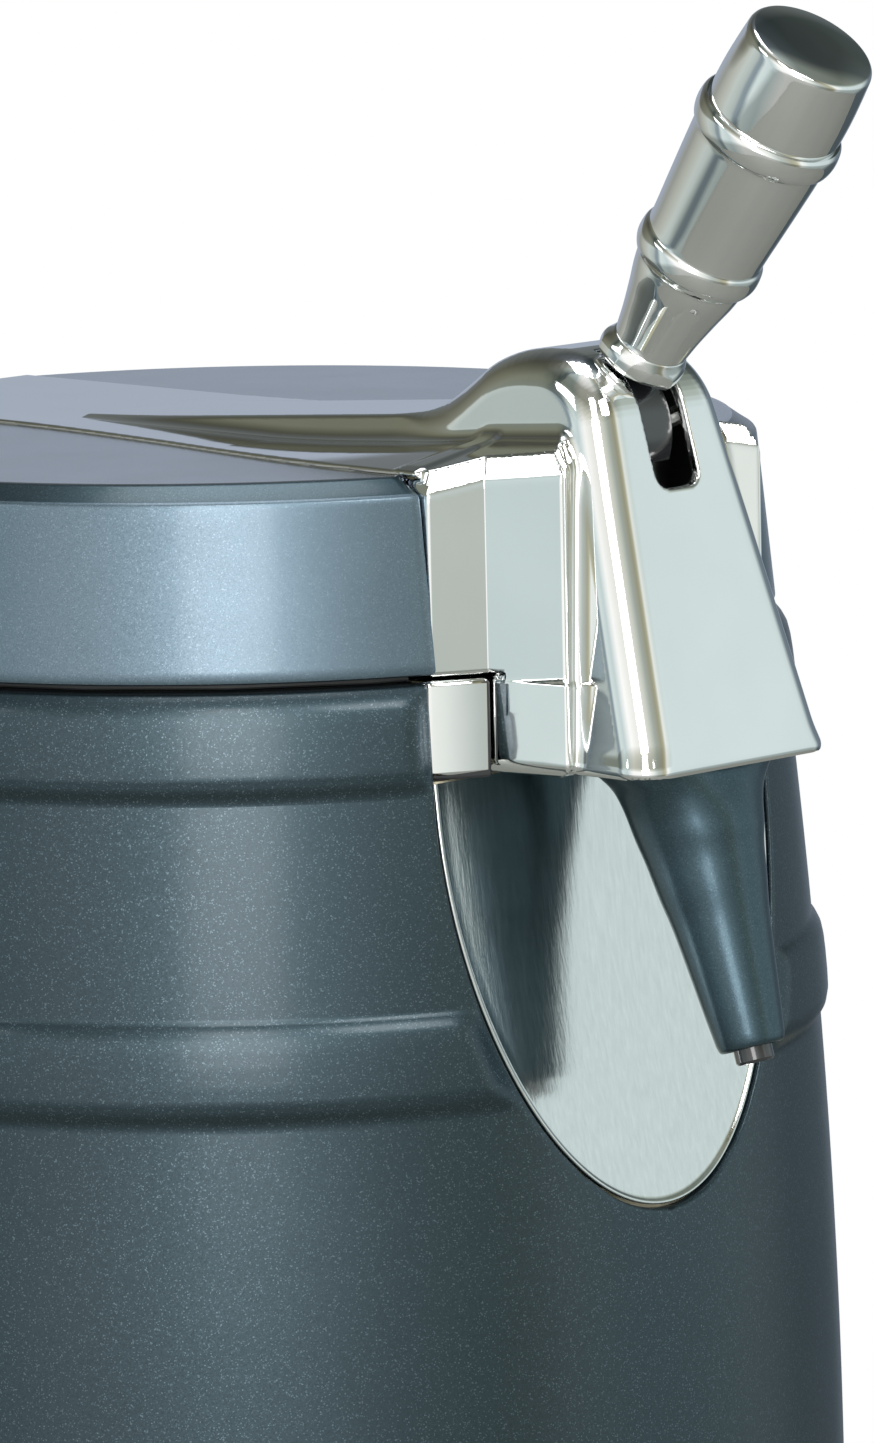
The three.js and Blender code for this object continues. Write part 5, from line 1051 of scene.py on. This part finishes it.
def photo_camera():
    forward = Vector(CAMERA_AIM).normalized()
    right = forward.cross(Vector((0, 0, 1))).normalized()
    up = right.cross(forward)
    across = right * math.cos(CAMERA_ROLL) + up * math.sin(CAMERA_ROLL)
    upward = up * math.cos(CAMERA_ROLL) - right * math.sin(CAMERA_ROLL)
    data = bpy.data.cameras.new("photo camera")
    data.sensor_width = SENSOR_WIDTH
    data.lens = CAMERA_LENS
    data.clip_start = 0.05
    data.clip_end = 50
    camera = bpy.data.objects.new("photo camera", data)
    turned_to = Matrix((across, upward, -forward)).transposed().to_4x4()
    camera.matrix_world = Matrix.Translation(CAMERA_AT) @ turned_to
    bpy.context.scene.collection.objects.link(camera)
    bpy.context.scene.camera = camera


# Light and surroundings: each light's name, place, size and power
LIGHTS = [
    ("key strip", (-1.73, -1.66, 0.95), (0.85, 1.5), 19),
    ("high key", (-1.21, -1.14, 1.87), (0.5, 0.8), 8),
    ("left soft box", (-1.56, 0.56, 1.45), (0.75, 0.5), 2.5),
    ("front soft box", (-0.3, -1.5, 1.75), (0.7, 0.6), 9),
    ("top soft box", (0.1, 0.1, 2.2), (0.8, 0.8), 6),
]
LIT_POINT = (0, 0.0, 0.4)
WORLD_STRENGTH = 1.1
FLOOR_RADIUS = 0.9


def area_light(name, place_at, size, power):
    data = bpy.data.lights.new(name, "AREA")
    data.shape = "RECTANGLE"
    data.size, data.size_y = size
    data.energy = power
    light = bpy.data.objects.new(name, data)
    light.location = place_at
    aim = Vector(LIT_POINT) - Vector(place_at)
    light.rotation_euler = aim.to_track_quat("-Z", "Y").to_euler()
    bpy.context.scene.collection.objects.link(light)


# Colours of the room by compass bearing, 0 behind the barrel, then clockwise from above
ROOM = [
    (0.00, (0.30, 0.31, 0.28)),
    (0.06, (0.34, 0.38, 0.45)),
    (0.15, (0.35, 0.40, 0.48)),
    (0.185, (0.13, 0.17, 0.20)),
    (0.26, (0.17, 0.21, 0.24)),
    (0.31, (0.60, 0.69, 0.69)),
    (0.41, (0.66, 0.76, 0.76)),
    (0.445, (0.95, 0.98, 0.95)),
    (0.465, (0.52, 0.50, 0.36)),
    (0.485, (0.42, 0.42, 0.32)),
    (0.53, (0.50, 0.55, 0.53)),
    (0.565, (0.80, 0.84, 0.80)),
    (0.595, (1.00, 1.00, 0.97)),
    (0.73, (1.00, 1.00, 0.98)),
    (0.785, (0.56, 0.66, 0.66)),
    (0.825, (0.66, 0.75, 0.74)),
    (0.842, (0.24, 0.30, 0.33)),
    (0.856, (0.26, 0.32, 0.35)),
    (0.868, (0.42, 0.48, 0.46)),
    (0.88, (0.46, 0.52, 0.50)),
    (0.905, (0.52, 0.57, 0.54)),
    (0.94, (0.45, 0.47, 0.42)),
    (1.00, (0.30, 0.31, 0.28)),
]

# Shade of the room by height, 0 straight down and 1 straight up, before the barrel and behind it
LOW_SHADE = [(0.0, (0.30, 0.31, 0.29)), (0.36, (0.50, 0.51, 0.50)), (0.42, (0.95, 0.95, 0.95))]
AHEAD_SHADE = LOW_SHADE + [
    (0.64, (1, 1, 1)),
    (0.74, (0.62, 0.62, 0.56)),
    (0.84, (0.26, 0.26, 0.22)),
    (0.93, (0.30, 0.30, 0.27)),
    (1.0, (0.9, 0.9, 0.9)),
]
BEHIND_SHADE = LOW_SHADE + [
    (0.595, (1, 1, 1)),
    (0.615, (0.44, 0.43, 0.38)),
    (0.75, (0.36, 0.35, 0.28)),
    (0.86, (0.20, 0.20, 0.17)),
    (0.93, (0.28, 0.28, 0.26)),
    (1.0, (0.9, 0.9, 0.9)),
]
# Where the shade behind the barrel takes over, by the same bearing as the room's colours
BEHIND_SHARE = [(0.22, (1, 1, 1)), (0.29, (0, 0, 0)), (0.80, (0, 0, 0)), (0.86, (1, 1, 1))]


def room_color(tree):
    """The room's colour in a direction: its colour by bearing times its shade by height."""
    where = node(tree, "ShaderNodeTexCoord").outputs["Generated"]
    x, y, z = node(tree, "ShaderNodeSeparateXYZ", {0: where}).outputs
    bearing = node(tree, "ShaderNodeMath", {0: x, 1: y}, operation="ARCTAN2").outputs[0]
    values = {"Value": bearing, "From Min": -math.pi, "From Max": math.pi}
    turn = node(tree, "ShaderNodeMapRange", values).outputs[0]
    shifted = node(tree, "ShaderNodeMath", {0: turn, 1: 0.5}, operation="ADD").outputs[0]
    share = node(tree, "ShaderNodeMath", {0: shifted}, operation="FRACT").outputs[0]
    values = {"Value": z, "From Min": -1.0, "From Max": 1.0}
    height = node(tree, "ShaderNodeMapRange", values).outputs[0]
    ahead = ramp(tree, height, AHEAD_SHADE)
    behind = ramp(tree, height, BEHIND_SHADE)
    shade = mix_colors(tree, ramp(tree, share, BEHIND_SHARE), ahead, behind)
    return mix_colors(tree, 1.0, ramp(tree, share, ROOM), shade, "MULTIPLY")


def studio():
    """A toned room that the piece mirrors, plain white where it is seen directly."""
    world = bpy.data.worlds.new("studio")
    bpy.context.scene.world = world
    world.use_nodes = True
    tree = world.node_tree
    background = tree.nodes["Background"]
    feed(tree, background, {"Color": room_color(tree), "Strength": WORLD_STRENGTH})
    path = node(tree, "ShaderNodeLightPath").outputs
    rays = {0: path["Is Camera Ray"], 1: path["Is Transmission Ray"]}
    seen = node(tree, "ShaderNodeMath", rays, operation="MAXIMUM").outputs[0]
    white = node(tree, "ShaderNodeBackground", {"Color": (1, 1, 1, 1), "Strength": 1.0})
    choice = {0: seen, 1: background.outputs[0], 2: white.outputs[0]}
    mix = node(tree, "ShaderNodeMixShader", choice)
    feed(tree, tree.nodes["World Output"], {"Surface": mix.outputs[0]})
    for light in LIGHTS:
        area_light(*light)


def floor():
    """A white disc, darker where it is mirrored or lights the piece than where it is seen."""
    turns = np.linspace(0, 2 * math.pi, 97)[:-1]
    rim = [(FLOOR_RADIUS * math.cos(a), FLOOR_RADIUS * math.sin(a), 0) for a in turns]
    mesh = bpy.data.meshes.new("floor")
    mesh.from_pydata(rim, [], [tuple(range(len(rim)))])
    material, tree, shader = new_material("floor_white")
    shade = noise(tree, coordinates(tree), 3.0)
    pale = ramp(tree, shade, [(0.2, (0.90, 0.90, 0.90)), (0.8, (0.93, 0.93, 0.93))])
    mirrored = ramp(tree, shade, [(0.2, (0.32, 0.325, 0.30)), (0.8, (0.36, 0.365, 0.34))])
    seen = node(tree, "ShaderNodeLightPath").outputs["Is Camera Ray"]
    color = mix_colors(tree, seen, mirrored, pale)
    feed(tree, shader, {"Base Color": color, "Roughness": 0.7})
    mesh.materials.append(material)
    made = bpy.data.objects.new("floor", mesh)
    bpy.context.scene.collection.objects.link(made)


photo_camera()
studio()
floor()
bpy.context.scene.view_settings.view_transform = "Standard"
